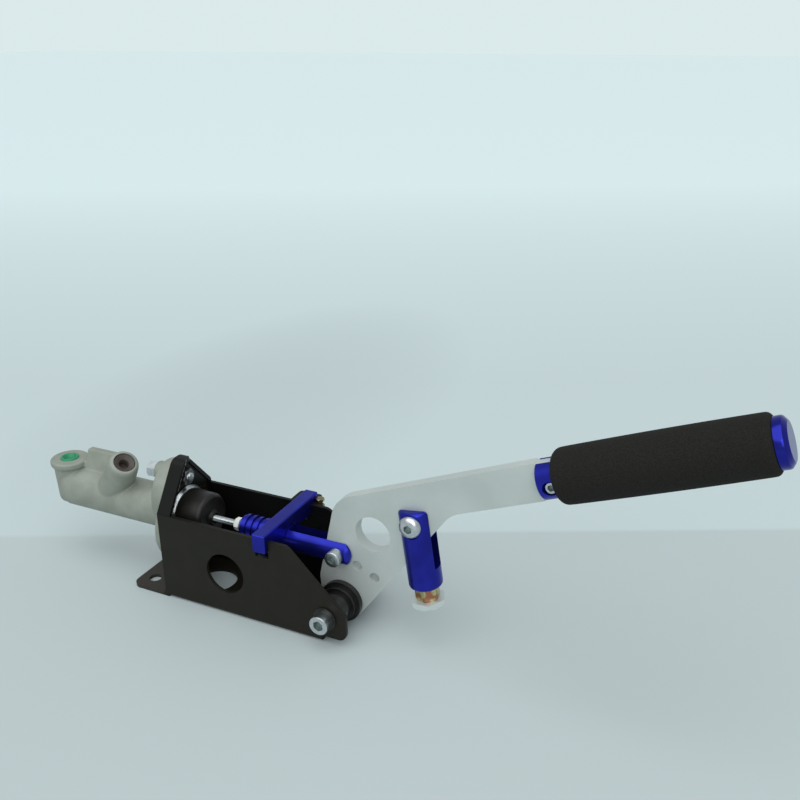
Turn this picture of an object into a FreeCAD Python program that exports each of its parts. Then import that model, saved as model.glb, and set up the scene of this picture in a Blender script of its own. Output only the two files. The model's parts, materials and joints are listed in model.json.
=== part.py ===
import FreeCAD, Part
import math
import os

# Hydraulic handbrake, in millimetres.
# X runs from the master cylinder to the hand grip, Y across the bracket, Z up.
# The origin lies on the mounting face, at the middle of the four floor holes.

V = FreeCAD.Vector
X_AXIS = V(1, 0, 0)
Y_AXIS = V(0, 1, 0)
Z_AXIS = V(0, 0, 1)

# Bracket, folded and welded from sheet
sheet = 3.0
bracket_width = 70.0
bend_radius = 3.5
wall_left = -49.0
wall_top_right = 77.0
wall_right = 128.0
wall_right_top = 29.0
tip_clearance = 6.0
tip_radius = 7.0
shoulder_radius = 9.0
floor_right = 105.5
foot_length = 37.0
foot_radius = 8.0
side_hole_radius = 18.0
side_hole_x = 15.7
side_hole_z = 39.0
hood_depth = 12.8
hood_over_flange = 6.6
hood_near_top = 9.0
hood_far_top = 3.5
hood_top_radius = 9.0
hood_far_shoulder_rise = 2.8
hood_far_lip = 4.5
base_hole_radius = 5.5
base_hole_spacing_x = 145.0
base_hole_spacing_y = 40.0

# Pivot of the lever
pivot_x = 109.5
pivot_z = 23.0
pivot_bolt_radius = 5.0
pivot_head_radius = 8.0
pivot_head_height = 10.0
pivot_washer_radius = 10.0
pivot_washer_height = 1.5
pivot_nut_flats = 17.0
pivot_nut_height = 8.0
sleeve_radius = 7.0
spacer_small_radius = 12.0
spacer_middle_radius = 15.0
spacer_large_radius = 18.0
spacer_large_height = 4.7
spacer_middle_height = 4.5
bush_radius = 9.5

# Lever plate, cut from thick aluminium
plate_thickness = 10.0
plate_pivot_radius = 18.5
plate_edge_low_x = 90.9
plate_edge_low_z = 50.9
plate_edge_high_x = 101.4
plate_edge_high_z = 98.1
plate_heel_z = 41.0
plate_corner_radius = 26.0
plate_top_rise = 14.4
plate_bottom_drop = 14.5
tongue_half = 13.0
handle_angle = 20.8
plate_top_angle = 21.74
plate_waist_angle = 54.5
plate_waist_radius = 25.0
light_hole_radius = 15.0
light_hole_x = 137.8
light_hole_z = 89.8
fork_pin_radius = 43.0
fork_pin_angle = 93.0
spare_holes = [(37.6, 68.6), (40.3, 43.8)]

# Handle tube, grip and cap, measured along the handle from its middle
handle_x = 351.0
handle_z = 194.5
tube_radius = 14.6
tube_bore_radius = 10.5
tube_start = -87.3
plate_end = -45.0
slot_end = -43.0
grip_radius = 20.7
grip_start = -75.3
grip_end = 68.9
grip_rounding = 6.0
cap_radius = 17.0
cap_length = 8.4
cap_chamfer = 3.6
handle_screw_radius = 2.5
handle_screw_head = 4.25
handle_screw_height = 5.0
handle_counterbore = 5.5
handle_screw_drop = 2.7
handle_screw_seat = 7.4
handle_screw_places = [-78.2, -55.0]

# Fork, push rod and jam nut
fork_radius = 11.0
fork_start = 8.0
slot_root = 61.0
slot_clearance = 0.4
fork_groove_pitch = 6.0
fork_groove_width = 3.2
fork_groove_depth = 1.5
fork_groove_count = 4
fork_end_radius = 11.5
fork_flat = 9.8
fork_bolt_radius = 4.0
fork_head_radius = 6.5
fork_head_height = 8.0
fork_nut_flats = 13.0
fork_nut_height = 6.5
rod_radius = 3.0
rod_tip_x = -75.0
rod_in_fork = 30.0
jam_nut_flats = 10.0
jam_nut_height = 5.0

# Master cylinder, cast
flange_thickness = 13.0
flange_half_height = 46.8
flange_half_width = 24.0
flange_end_radius = 13.0
flange_bolt_offset = 34.5
flange_bolt_radius = 4.0
flange_nut_flats = 13.0
flange_nut_height = 6.5
flange_boss_radius = 8.5
flange_boss_length = 8.0
flange_hex_height = 8.0
flange_dome_height = 6.0
body_radius = 18.8
body_left = -178.0
bore_radius = 9.525
bore_left = -180.0
spigot_radius = 18.6
spigot_length = 9.0
outlet_x = -175.0
outlet_top = 92.0
outlet_head_radius = 17.0
outlet_head_height = 5.5
outlet_neck_radius = 15.0
outlet_foot_radius = 13.6
outlet_foot_z = 45.5
outlet_seat_radius = 8.4
outlet_plug_height = 3.0
inlet_x = -128.0
inlet_lean_x = 0.564
inlet_lean_y = -0.242
inlet_length = 53.6
inlet_rim_radius = 12.6
inlet_rim_bevel = 1.6
inlet_root_radius = 16.0
inlet_seat_radius = 9.3
inlet_seat_depth = 11.0
port_radius = 2.5
pad_left = -161.0
pad_right = -134.0
pad_front = -1.0
pad_back = 12.0
pad_top = 101.8

# Inside the cylinder
piston_clearance = 0.05
piston_face = -48.6
piston_left = -98.0
piston_seat_radius = 5.0
piston_waist_radius = 7.2
seal_width = 4.0
seal_places = [-90.0, -58.0]
tip_gap = 0.5
circlip_thickness = 1.2
circlip_inner = 6.6
circlip_grip = 0.9
spring_wire = 0.9
spring_turns = 8
spring_radius = 7.0
spring_end_gap = 0.05

# Boot
ring_radius = 24.0
ring_width = 3.6
boot_radius = 21.4
boot_end_radius = 20.6
boot_right = -18.5
boot_wall = 2.7
boot_lip_radius = 7.0
boot_lip_length = 3.0
boot_hole_radius = 4.8

# Cross bar over the push rod
bar_left = 47.8
bar_width = 12.0
bar_height = 16.0
bar_over_axis = 4.56
bar_sink = 9.5
bar_near_overhang = 4.5
bar_far_overhang = 10.0
bar_chamfer = 0.8
bar_slot_gap = 0.15
near_notch_drop = 6.0
ear_left_margin = 9.0
ear_right_margin = 12.2
ear_tip_inset = 0.4
ear_depth = 17.0
ear_screw_out = 6.4
ear_screw_radius = 2.0
ear_screw_flats = 7.0
ear_screw_head = 2.8
ear_nut_height = 3.2
ear_screw_rise = 5.0

# Link barrel that hangs on the lever
barrel_bolt_x = 173.4
barrel_bolt_z = 109.0
barrel_lean = 8.1
barrel_radius = 13.45
barrel_top = 10.2
barrel_bottom = 56.2
barrel_slot_depth = 38.6
barrel_edge = 3.0
barrel_flat = 12.0
barrel_bolt_radius = 5.0
barrel_head_radius = 8.75
barrel_head_height = 5.5
barrel_nut_flats = 17.0
barrel_nut_height = 8.0
stud_radius = 5.0
lock_nut_flats = 17.0
lock_nut_height = 11.0
foot_nut_flats = 25.0
foot_nut_height = 5.2

# How far a hexagon is turned from a corner to a flat
nut_turn = 30.0

# Clearances
thread_gap = 0.05
hole_gap = 0.25
running_gap = 0.05
side_gap = 0.3

# Worked out from the sizes above
half_width = bracket_width / 2
half_plate = plate_thickness / 2
pin_x = pivot_x + fork_pin_radius * math.cos(math.radians(fork_pin_angle))
pin_z = pivot_z + fork_pin_radius * math.sin(math.radians(fork_pin_angle))
axis_z = pin_z
plate_inner = wall_left + sheet
bar_right = bar_left + bar_width
bar_front = -half_width - bar_near_overhang
bar_back = half_width + bar_far_overhang
bar_bottom = axis_z + bar_over_axis
wall_height = bar_bottom + bar_sink
hood_height = axis_z + flange_half_height + hood_over_flange
hood_far_shoulder = wall_height + hood_far_shoulder_rise
ear_left = bar_left - ear_left_margin
ear_right = bar_right + ear_right_margin
ear_tip_right = bar_right - ear_tip_inset
ear_screw_x = bar_right + side_gap + ear_screw_flats / 2
ear_screw_y = half_width + ear_screw_out
slot_half = half_plate + slot_clearance
handle_dir = V(math.cos(math.radians(handle_angle)), 0, math.sin(math.radians(handle_angle)))
handle_up = V(-handle_dir.z, 0, handle_dir.x)
handle_mid = V(handle_x, 0, handle_z)
inlet_dir = V(inlet_lean_x, inlet_lean_y, math.sqrt(1 - inlet_lean_x ** 2 - inlet_lean_y ** 2))
barrel_pivot = V(barrel_bolt_x, 0, barrel_bolt_z)


def rod(radius, start, direction, length):
    """A plain round bar."""
    return Part.makeCylinder(radius, length, start, direction)


def ring(outer, inner, start, direction, length):
    """A round tube."""
    return rod(outer, start, direction, length).cut(rod(inner, start, direction, length))


def box(x0, x1, y0, y1, z0, z1):
    """A block between two corners."""
    return Part.makeBox(x1 - x0, y1 - y0, z1 - z0, V(x0, y0, z0))


def outline(corners, place):
    """A closed wire through corners (u, v, radius), each round one cut as an arc."""
    entries = []
    exits = []
    arcs = []
    count = len(corners)
    for i in range(count):
        here = V(corners[i][0], corners[i][1], 0)
        radius = corners[i][2]
        back = V(corners[i - 1][0], corners[i - 1][1], 0).sub(here).normalize()
        ahead = V(corners[(i + 1) % count][0], corners[(i + 1) % count][1], 0).sub(here).normalize()
        if radius == 0:
            entries.append(here)
            exits.append(here)
            arcs.append(None)
            continue
        half = math.acos(max(-1.0, min(1.0, back.dot(ahead)))) / 2
        reach = radius / math.tan(half)
        bisector = back.add(ahead).normalize()
        centre = here.add(bisector * (radius / math.sin(half)))
        entries.append(here.add(back * reach))
        exits.append(here.add(ahead * reach))
        arcs.append(centre.sub(bisector * radius))
    edges = []
    for i in range(count):
        after = (i + 1) % count
        if arcs[i] is not None:
            edges.append(Part.Arc(place(entries[i]), place(arcs[i]), place(exits[i])).toShape())
        if exits[i].distanceToPoint(entries[after]) > 1e-6:
            edges.append(Part.LineSegment(place(exits[i]), place(entries[after])).toShape())
    return Part.Wire(Part.__sortEdges__(edges))


def side_prism(corners, y0, y1):
    """A side view outline (x, z, radius) carried across from y0 to y1."""
    wire = outline(corners, lambda p: V(p.x, y0, p.y))
    return Part.Face(wire).extrude(V(0, y1 - y0, 0))


def end_prism(corners, x0, x1):
    """An end view outline (y, z, radius) carried along from x0 to x1."""
    wire = outline(corners, lambda p: V(x0, p.x, p.y))
    return Part.Face(wire).extrude(V(x1 - x0, 0, 0))


def hexagon(flats, start, direction, height, turn=0.0):
    """A hexagonal bar with its top corners broken, as on a nut."""
    across = flats / math.sqrt(3)
    points = []
    for i in range(7):
        angle = math.radians(60 * i + turn)
        points.append(V(across * math.cos(angle), across * math.sin(angle), 0))
    bar = Part.Face(Part.makePolygon(points)).extrude(V(0, 0, height))
    crown = Part.makeCone(flats / 2 + 0.55 * height, flats / 2, 0.55 * height, V(0, 0, 0.45 * height))
    skirt = rod(flats, V(0, 0, 0), Z_AXIS, 0.45 * height)
    bar = bar.common(skirt.fuse(crown))
    bar.Placement = FreeCAD.Placement(start, FreeCAD.Rotation(Z_AXIS, direction))
    return bar


def nut(flats, bolt_radius, start, direction, height, turn=0.0):
    """A hexagonal nut with its bore cut clear of the thread."""
    body = hexagon(flats, start, direction, height, turn)
    return body.cut(rod(bolt_radius + thread_gap, start, direction, height))


def socket_head(radius, height, start, direction, key):
    """A cylindrical screw head with a hexagon socket, seated at start."""
    head = rod(radius, start, direction, height)
    rim = [e for e in head.Edges if e.Closed and e.CenterOfMass.distanceToPoint(start) > height / 2]
    head = head.makeChamfer(0.08 * radius, rim)
    across = key / math.sqrt(3)
    points = [V(across * math.cos(math.radians(60 * i)), across * math.sin(math.radians(60 * i)), 0)
              for i in range(7)]
    socket = Part.Face(Part.makePolygon(points)).extrude(V(0, 0, 0.5 * height))
    socket.Placement = FreeCAD.Placement(start + direction * (0.5 * height),
                                         FreeCAD.Rotation(Z_AXIS, direction))
    return head.cut(socket)


def dome_head(radius, height, start, direction, key):
    """A button head: a shallow dome with a hexagon socket."""
    rim = 0.25 * height
    sphere_radius = (radius ** 2 + (height - rim) ** 2) / (2 * (height - rim))
    centre = start + direction * (height - sphere_radius)
    dome = Part.makeSphere(sphere_radius, centre).common(rod(radius, start, direction, height))
    across = key / math.sqrt(3)
    points = [V(across * math.cos(math.radians(60 * i)), across * math.sin(math.radians(60 * i)), 0)
              for i in range(7)]
    socket = Part.Face(Part.makePolygon(points)).extrude(V(0, 0, 0.6 * height))
    socket.Placement = FreeCAD.Placement(start + direction * (0.4 * height),
                                         FreeCAD.Rotation(Z_AXIS, direction))
    return dome.cut(socket)


def along_handle(distance, rise=0.0):
    """A point on the handle's centre line, or square above it."""
    return handle_mid + handle_dir * distance + handle_up * rise


def wall_outline(z0):
    """Side view of a bracket wall, from its left end to the pivot tip."""
    return [
        (wall_left, z0, 0),
        (floor_right, z0, 0),
        (floor_right, tip_clearance, 0),
        (wall_right, tip_clearance, tip_radius),
        (wall_right, wall_right_top, 4),
        (wall_top_right, wall_height, shoulder_radius),
        (wall_left, wall_height, 0),
    ]


def hood_outline():
    """End view of the raised end plate, above the tops of the walls."""
    return [
        (-half_width, sheet, 0),
        (half_width, sheet, 0),
        (half_width, hood_far_shoulder, 5),
        (hood_far_top, hood_height, hood_top_radius),
        (-hood_near_top, hood_height, hood_top_radius),
        (-half_width, wall_height, 5),
    ]


def make_ear():
    """The trapezoid ear folded outwards from the far wall, slotted for the cross bar."""
    inner = half_width - sheet
    corners = [(ear_left, inner), (ear_right, inner), (ear_tip_right, half_width + ear_depth),
               (ear_left, half_width + ear_depth)]
    wire = outline([(x, y, r) for (x, y), r in zip(corners, (0, 0, 3, 3))],
                   lambda p: V(p.x, p.y, wall_height - sheet))
    ear = Part.Face(wire).extrude(V(0, 0, sheet))
    hole = rod(ear_screw_radius + hole_gap, V(ear_screw_x, ear_screw_y, wall_height - 2 * sheet),
               Z_AXIS, 3 * sheet)
    return ear.cut(hole)


def make_bracket():
    """Floor, walls, foot and hooded end plate, one welded piece."""
    section = [
        (-half_width, 0, bend_radius),
        (half_width, 0, bend_radius),
        (half_width, wall_height, 0),
        (half_width - sheet, wall_height, 0),
        (half_width - sheet, sheet, bend_radius - sheet),
        (-half_width + sheet, sheet, bend_radius - sheet),
        (-half_width + sheet, wall_height, 0),
        (-half_width, wall_height, 0),
    ]
    channel = end_prism(section, wall_left, wall_right)
    channel = channel.common(side_prism(wall_outline(0), -half_width, half_width))
    foot_left = wall_left - foot_length
    foot_wire = outline([(foot_left, -half_width, foot_radius), (wall_left + sheet, -half_width, 0),
                         (wall_left + sheet, half_width, 0), (foot_left, half_width, foot_radius)],
                        lambda p: V(p.x, p.y, 0))
    foot = Part.Face(foot_wire).extrude(V(0, 0, sheet))
    hood_wire = outline(hood_outline(), lambda p: V(wall_left, p.x, p.y))
    hood = Part.Face(hood_wire).extrude(V(hood_depth, 0, 0))
    inner_wire = outline(hood_outline(), lambda p: V(plate_inner, p.x, p.y)).makeOffset2D(-sheet)
    hollow = Part.Face(inner_wire).extrude(V(hood_depth, 0, 0))
    below = box(plate_inner, wall_left + 2 * hood_depth, -half_width + sheet, half_width - sheet,
                sheet, wall_height)
    lip_right = wall_left + hood_far_lip
    rim_right = wall_left + hood_depth
    trim_wire = outline([(rim_right, -0.3 * hood_near_top, 0), (lip_right, hood_far_top + 5, 0),
                         (lip_right, half_width + 1, 0), (rim_right + 1, half_width + 1, 0),
                         (rim_right + 1, -0.3 * hood_near_top, 0)],
                        lambda p: V(p.x, p.y, wall_height))
    trim = Part.Face(trim_wire).extrude(V(0, 0, wall_height))
    hood = hood.cut([hollow, below, trim])
    bracket = channel.fuse([foot, hood, make_ear()])
    cuts = [rod(spigot_radius + hole_gap, V(wall_left - 1, 0, axis_z), X_AXIS, sheet + 2)]
    for side in (-1, 1):
        cuts.append(rod(flange_bolt_radius + hole_gap,
                        V(wall_left - 1, 0, axis_z + side * flange_bolt_offset), X_AXIS, sheet + 2))
        for end in (-1, 1):
            cuts.append(rod(base_hole_radius,
                            V(end * base_hole_spacing_x / 2, side * base_hole_spacing_y / 2, -1),
                            Z_AXIS, sheet + 2))
    cuts.append(rod(side_hole_radius, V(side_hole_x, -half_width - 1, side_hole_z), Y_AXIS,
                    bracket_width + 2))
    cuts.append(rod(pivot_bolt_radius + hole_gap, V(pivot_x, -half_width - 1, pivot_z), Y_AXIS,
                    bracket_width + 2))
    slot_x0 = bar_left - bar_slot_gap
    slot_x1 = bar_right + bar_slot_gap
    cuts.append(box(slot_x0, slot_x1, -half_width - 1, 0, bar_bottom - near_notch_drop, wall_height + 1))
    cuts.append(box(slot_x0, slot_x1, 0, bar_back + bar_slot_gap, bar_bottom, wall_height + 1))
    return bracket.cut(cuts).removeSplitter()


def make_cylinder_body():
    """Cast body with its flange, spigot, upright outlet and leaning inlet, bored right through."""
    flange_left = wall_left - flange_thickness
    barrel = rod(body_radius, V(body_left, 0, axis_z), X_AXIS, flange_left - body_left + 1)
    top = axis_z + flange_half_height
    bottom = axis_z - flange_half_height
    flange = end_prism([(0 - flange_end_radius, bottom, flange_end_radius - 1),
                        (flange_end_radius, bottom, flange_end_radius - 1),
                        (flange_half_width, axis_z, 14), (flange_end_radius, top, flange_end_radius - 1),
                        (-flange_end_radius, top, flange_end_radius - 1),
                        (-flange_half_width, axis_z, 14)], flange_left, wall_left)
    spigot = rod(spigot_radius, V(wall_left, 0, axis_z), X_AXIS, spigot_length)
    neck = Part.makeCone(outlet_foot_radius, outlet_neck_radius, outlet_top - outlet_foot_z - 1,
                         V(outlet_x, 0, outlet_foot_z), Z_AXIS)
    neck = neck.makeFillet(2.5, [e for e in neck.Edges if e.Closed and e.CenterOfMass.z < axis_z])
    head = rod(outlet_head_radius, V(outlet_x, 0, outlet_top - outlet_head_height), Z_AXIS,
               outlet_head_height)
    head = head.makeChamfer(0.8, [e for e in head.Edges if e.Closed])
    inlet_root = V(inlet_x, 0, axis_z)
    inlet = Part.makeCone(inlet_root_radius, inlet_rim_radius, inlet_length, inlet_root, inlet_dir)
    rim_edge = [e for e in inlet.Edges
                if e.Closed and e.CenterOfMass.distanceToPoint(inlet_root) > inlet_length / 2]
    inlet = inlet.makeChamfer(inlet_rim_bevel, rim_edge)
    pad = box(pad_left, pad_right, pad_front, pad_back, axis_z, pad_top)
    pad = pad.makeFillet(2.5, [e for e in pad.Edges if e.BoundBox.ZMin > axis_z + 1])
    bosses = [rod(flange_boss_radius, V(flange_left - flange_boss_length, 0,
                                        axis_z + side * flange_bolt_offset), X_AXIS,
                  flange_boss_length + 1) for side in (-1, 1)]
    body = barrel.fuse([flange, spigot, neck, head, inlet, pad] + bosses)
    mouth = wall_left + spigot_length
    cuts = [rod(bore_radius, V(bore_left, 0, axis_z), X_AXIS, mouth - bore_left + 1)]
    cuts.append(rod(bore_radius + circlip_grip, V(circlip_place(), 0, axis_z), X_AXIS,
                    circlip_thickness))
    cuts.append(rod(outlet_seat_radius, V(outlet_x, 0, outlet_top - outlet_plug_height), Z_AXIS,
                    outlet_plug_height + 1))
    cuts.append(rod(port_radius, V(outlet_x, 0, axis_z), Z_AXIS, outlet_top - axis_z + 1))
    rim = inlet_root + inlet_dir * inlet_length
    cuts.append(rod(inlet_seat_radius, rim - inlet_dir * inlet_seat_depth, inlet_dir,
                    inlet_seat_depth + 1))
    cuts.append(rod(port_radius, inlet_root, inlet_dir, inlet_length))
    for side in (-1, 1):
        cuts.append(rod(flange_bolt_radius + hole_gap,
                        V(flange_left - flange_boss_length - 1, 0,
                          axis_z + side * flange_bolt_offset), X_AXIS,
                        flange_thickness + flange_boss_length + 2))
    return body.cut(cuts).removeSplitter()


def circlip_place():
    """Left face of the circlip groove, just right of the piston at rest."""
    return piston_face + side_gap


def make_outlet_plug():
    """Shallow dished plug pressed in the outlet."""
    floor = outlet_top - outlet_plug_height
    plug = rod(outlet_seat_radius - running_gap, V(outlet_x, 0, floor), Z_AXIS,
               outlet_plug_height + 1.0)
    plug = plug.makeChamfer(0.5, [e for e in plug.Edges if e.Closed and e.CenterOfMass.z > floor + 1])
    dish = rod(0.55 * outlet_seat_radius, V(outlet_x, 0, floor + 1.2), Z_AXIS, outlet_plug_height)
    return plug.cut(dish)


def make_inlet_plug():
    """Round plug, sunk a little in the leaning inlet."""
    rim = V(inlet_x, 0, axis_z) + inlet_dir * inlet_length
    start = rim - inlet_dir * inlet_seat_depth
    plug = rod(inlet_seat_radius - running_gap, start, inlet_dir, inlet_seat_depth - 1.0)
    dish = rod(0.6 * inlet_seat_radius, rim - inlet_dir * 4.0, inlet_dir, 4.0)
    return plug.cut(dish)


def make_flange_bolts():
    """The two bolts that hold the cylinder to the end plate, hexagon heads with a domed end."""
    bolts = []
    for side in (-1, 1):
        place = V(wall_left - flange_thickness - flange_boss_length, 0,
                  axis_z + side * flange_bolt_offset)
        head = hexagon(flange_nut_flats, place, V(-1, 0, 0), flange_hex_height, nut_turn)
        dome = Part.makeSphere(flange_dome_height, place - X_AXIS * flange_hex_height)
        dome = dome.common(rod(flange_dome_height + 1, place, V(-1, 0, 0), 3 * flange_hex_height))
        length = flange_thickness + flange_boss_length + sheet + flange_nut_height + 2.5
        bolts.append(head.fuse([dome, rod(flange_bolt_radius, place, X_AXIS, length)]))
    return Part.makeCompound(bolts)


def make_flange_nuts():
    """The nuts of the flange bolts, against the end plate."""
    nuts = []
    for side in (-1, 1):
        place = V(plate_inner, 0, axis_z + side * flange_bolt_offset)
        nuts.append(nut(flange_nut_flats, flange_bolt_radius, place, X_AXIS, flange_nut_height, nut_turn))
    return Part.makeCompound(nuts)


def make_boot_ring():
    """Bright round-backed clamp ring on the boot, against the end plate."""
    band = ring(ring_radius, boot_radius + running_gap, V(plate_inner, 0, axis_z), X_AXIS, ring_width)
    outer = [e for e in band.Edges if e.Closed and abs(e.BoundBox.ZLength - 2 * ring_radius) < 0.01]
    return band.makeFillet(0.4 * ring_width, outer)


def make_rod_boot():
    """Rubber boot pushed over the spigot, with a round lip for the push rod."""
    start = plate_inner
    spigot_end = wall_left + spigot_length
    inner = spigot_radius + running_gap
    profile = [
        (start, inner, 0), (start, boot_radius, 0), (start + ring_width + 1, boot_radius, 0),
        (boot_right, boot_end_radius, 4.0), (boot_right, boot_lip_radius, 1.0),
        (boot_right + boot_lip_length, boot_lip_radius - 0.8, 0.8),
        (boot_right + boot_lip_length, boot_hole_radius, 0), (boot_right - boot_wall, boot_hole_radius, 0),
        (boot_right - boot_wall, boot_end_radius - boot_wall, 2.5), (spigot_end + 1, inner, 0),
    ]
    wire = outline(profile, lambda p: V(p.x, 0, axis_z + p.y))
    return Part.Face(wire).revolve(V(0, 0, axis_z), X_AXIS, 360)


def make_circlip():
    """Open retaining ring in its groove in the bore."""
    start = V(circlip_place(), 0, axis_z)
    clip = ring(bore_radius + circlip_grip - running_gap, circlip_inner, start, X_AXIS,
                circlip_thickness)
    gap = box(start.x - 1, start.x + circlip_thickness + 1, -2.0, 2.0, axis_z - 2 * bore_radius, axis_z)
    return clip.cut(gap)


def make_piston():
    """Piston with two seal grooves, a waist and a round seat for the push rod."""
    radius = bore_radius - piston_clearance
    piston = rod(radius, V(piston_left, 0, axis_z), X_AXIS, piston_face - piston_left)
    waist_left = seal_places[0] + 2 * seal_width
    waist_right = seal_places[1] - seal_width
    cuts = [ring(bore_radius + 1, piston_waist_radius, V(waist_left, 0, axis_z), X_AXIS,
                 waist_right - waist_left)]
    for place in seal_places:
        cuts.append(ring(bore_radius + 1, piston_waist_radius, V(place, 0, axis_z), X_AXIS, seal_width))
    seat_x = rod_tip_x + rod_radius
    cuts.append(rod(piston_seat_radius, V(seat_x, 0, axis_z), X_AXIS, piston_face - seat_x + 1))
    cuts.append(Part.makeSphere(rod_radius + tip_gap + 0.6, V(seat_x + 0.6, 0, axis_z)))
    return piston.cut(cuts)


def make_seal(place):
    """Rubber seal ring in its groove."""
    return ring(bore_radius - 0.02, piston_waist_radius + 0.02, V(place + 0.1, 0, axis_z), X_AXIS,
                seal_width - 0.2)


def make_return_spring():
    """Coil spring between the piston and the end of the bore, each half turn tilted up by its rise."""
    left = bore_left + spring_wire + spring_end_gap
    rise = (piston_left - spring_wire - spring_end_gap - left) / (2 * spring_turns)
    halves = []
    for i in range(2 * spring_turns):
        side = 1 if i % 2 == 0 else -1
        start = V(left + i * rise, 0, axis_z + side * spring_radius)
        centre = V(left + (i + 0.5) * rise, 0, axis_z)
        ahead = Y_AXIS * side
        section = Part.Face(Part.Wire(Part.Circle(start, ahead, spring_wire).toShape()))
        halves.append(section.revolve(centre, start.sub(centre).cross(ahead), 180))
    return halves[0].fuse(halves[1:])


def make_cross_bar():
    """Square bar laid in the wall notches, relieved over the round fork."""
    bar = box(bar_left, bar_right, bar_front, bar_back, bar_bottom, bar_bottom + bar_height)
    bar = bar.makeChamfer(bar_chamfer, bar.Edges)
    relief = rod(fork_radius + 3 * side_gap, V(bar_left - 1, 0, axis_z), X_AXIS, bar_width + 2)
    return bar.cut(relief)


def make_ear_screw():
    """Small hexagon screw standing through the ear beside the bar."""
    seat = V(ear_screw_x, ear_screw_y, wall_height)
    head = hexagon(ear_screw_flats, seat + Z_AXIS * ear_nut_height, Z_AXIS, ear_screw_head, nut_turn)
    shank = rod(ear_screw_radius, seat - Z_AXIS * (sheet + ear_screw_rise), Z_AXIS,
                sheet + ear_screw_rise + ear_nut_height)
    return head.fuse(shank)


def make_ear_nuts():
    """The screw's two thin nuts, above and below the ear."""
    seat = V(ear_screw_x, ear_screw_y, wall_height)
    upper = nut(ear_screw_flats, ear_screw_radius, seat, Z_AXIS, ear_nut_height, nut_turn)
    lower = nut(ear_screw_flats, ear_screw_radius, seat - Z_AXIS * sheet, V(0, 0, -1), ear_nut_height,
                nut_turn)
    return Part.makeCompound([upper, lower])


def make_pivot_bolt():
    """Socket head bolt across both walls."""
    seat = V(pivot_x, -half_width - pivot_washer_height, pivot_z)
    head = socket_head(pivot_head_radius, pivot_head_height, seat, V(0, -1, 0), pivot_bolt_radius * 1.6)
    length = bracket_width + 2 * pivot_washer_height + pivot_nut_height + 2.5
    return head.fuse(rod(pivot_bolt_radius, seat, Y_AXIS, length))


def make_pivot_washers():
    """Flat washers under the head and the nut."""
    near = ring(pivot_washer_radius, pivot_bolt_radius + hole_gap,
                V(pivot_x, -half_width - pivot_washer_height, pivot_z), Y_AXIS, pivot_washer_height)
    far = ring(pivot_washer_radius, pivot_bolt_radius + hole_gap, V(pivot_x, half_width, pivot_z),
               Y_AXIS, pivot_washer_height)
    return Part.makeCompound([near, far])


def make_pivot_nut():
    """Nut of the pivot bolt."""
    return nut(pivot_nut_flats, pivot_bolt_radius,
               V(pivot_x, half_width + pivot_washer_height, pivot_z), Y_AXIS, pivot_nut_height)


def make_pivot_sleeve():
    """Steel tube round the bolt, clamped between the walls."""
    inner = half_width - sheet
    return ring(sleeve_radius, pivot_bolt_radius + 0.1, V(pivot_x, -inner, pivot_z), Y_AXIS, 2 * inner)


def make_pivot_spacer(side):
    """Black stepped spacer on the sleeve, widest beside the lever."""
    start = V(pivot_x, side * (half_plate + side_gap), pivot_z)
    across = Y_AXIS * side
    reach = half_width - sheet - half_plate - side_gap
    body = rod(spacer_large_radius, start, across, spacer_large_height)
    body = body.fuse(rod(spacer_middle_radius, start, across, spacer_large_height + spacer_middle_height))
    body = body.fuse(rod(spacer_small_radius, start, across, reach))
    return body.cut(rod(sleeve_radius + 0.1, start, across, reach))


def make_pivot_bush():
    """Plain bush pressed in the lever, running on the sleeve."""
    return ring(bush_radius, sleeve_radius + running_gap, V(pivot_x, -half_plate, pivot_z), Y_AXIS,
                plate_thickness)


def plate_corners():
    """Side view of the lever plate: pivot end, upright web, and tongue inside the handle tube."""
    waist = V(math.cos(math.radians(plate_waist_angle)), 0, math.sin(math.radians(plate_waist_angle)))
    across = V(waist.z, 0, -waist.x)
    pivot = V(pivot_x, 0, pivot_z)
    low = pivot + across * plate_pivot_radius
    upper = along_handle(tube_start - 1.0, plate_top_rise)
    lower = along_handle(tube_start - 1.0, -plate_bottom_drop)
    rise = math.tan(math.radians(plate_top_angle))
    lean = (plate_edge_high_x - plate_edge_low_x) / (plate_edge_high_z - plate_edge_low_z)
    corner_x = (plate_edge_low_x + lean * (upper.z - rise * upper.x - plate_edge_low_z)) / (1 - lean * rise)
    corner_z = upper.z - (upper.x - corner_x) * rise
    heel_x = plate_edge_low_x - lean * (plate_edge_low_z - plate_heel_z)
    bottom_slope = math.tan(math.radians(handle_angle + 0.6))
    reach = (lower.z - low.z - bottom_slope * (lower.x - low.x)) / (waist.z - bottom_slope * waist.x)
    inner = low + waist * reach
    step_up = along_handle(tube_start + slot_clearance, tongue_half)
    end_up = along_handle(plate_end, tongue_half)
    end_low = along_handle(plate_end, -tongue_half)
    step_low = along_handle(tube_start + slot_clearance, -tongue_half)
    foot = pivot - Z_AXIS * plate_pivot_radius
    return [
        (pivot_x - plate_pivot_radius, foot.z, plate_pivot_radius - 2),
        (foot.x + plate_pivot_radius * math.tan(math.radians(plate_waist_angle / 2)), foot.z,
         plate_pivot_radius),
        (inner.x, inner.z, plate_waist_radius),
        (lower.x, lower.z, 0),
        (step_low.x, step_low.z, 0),
        (end_low.x, end_low.z, 0),
        (end_up.x, end_up.z, 0),
        (step_up.x, step_up.z, 0),
        (upper.x, upper.z, 0),
        (corner_x, corner_z, plate_corner_radius),
        (heel_x, plate_heel_z, 15),
    ]


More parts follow.
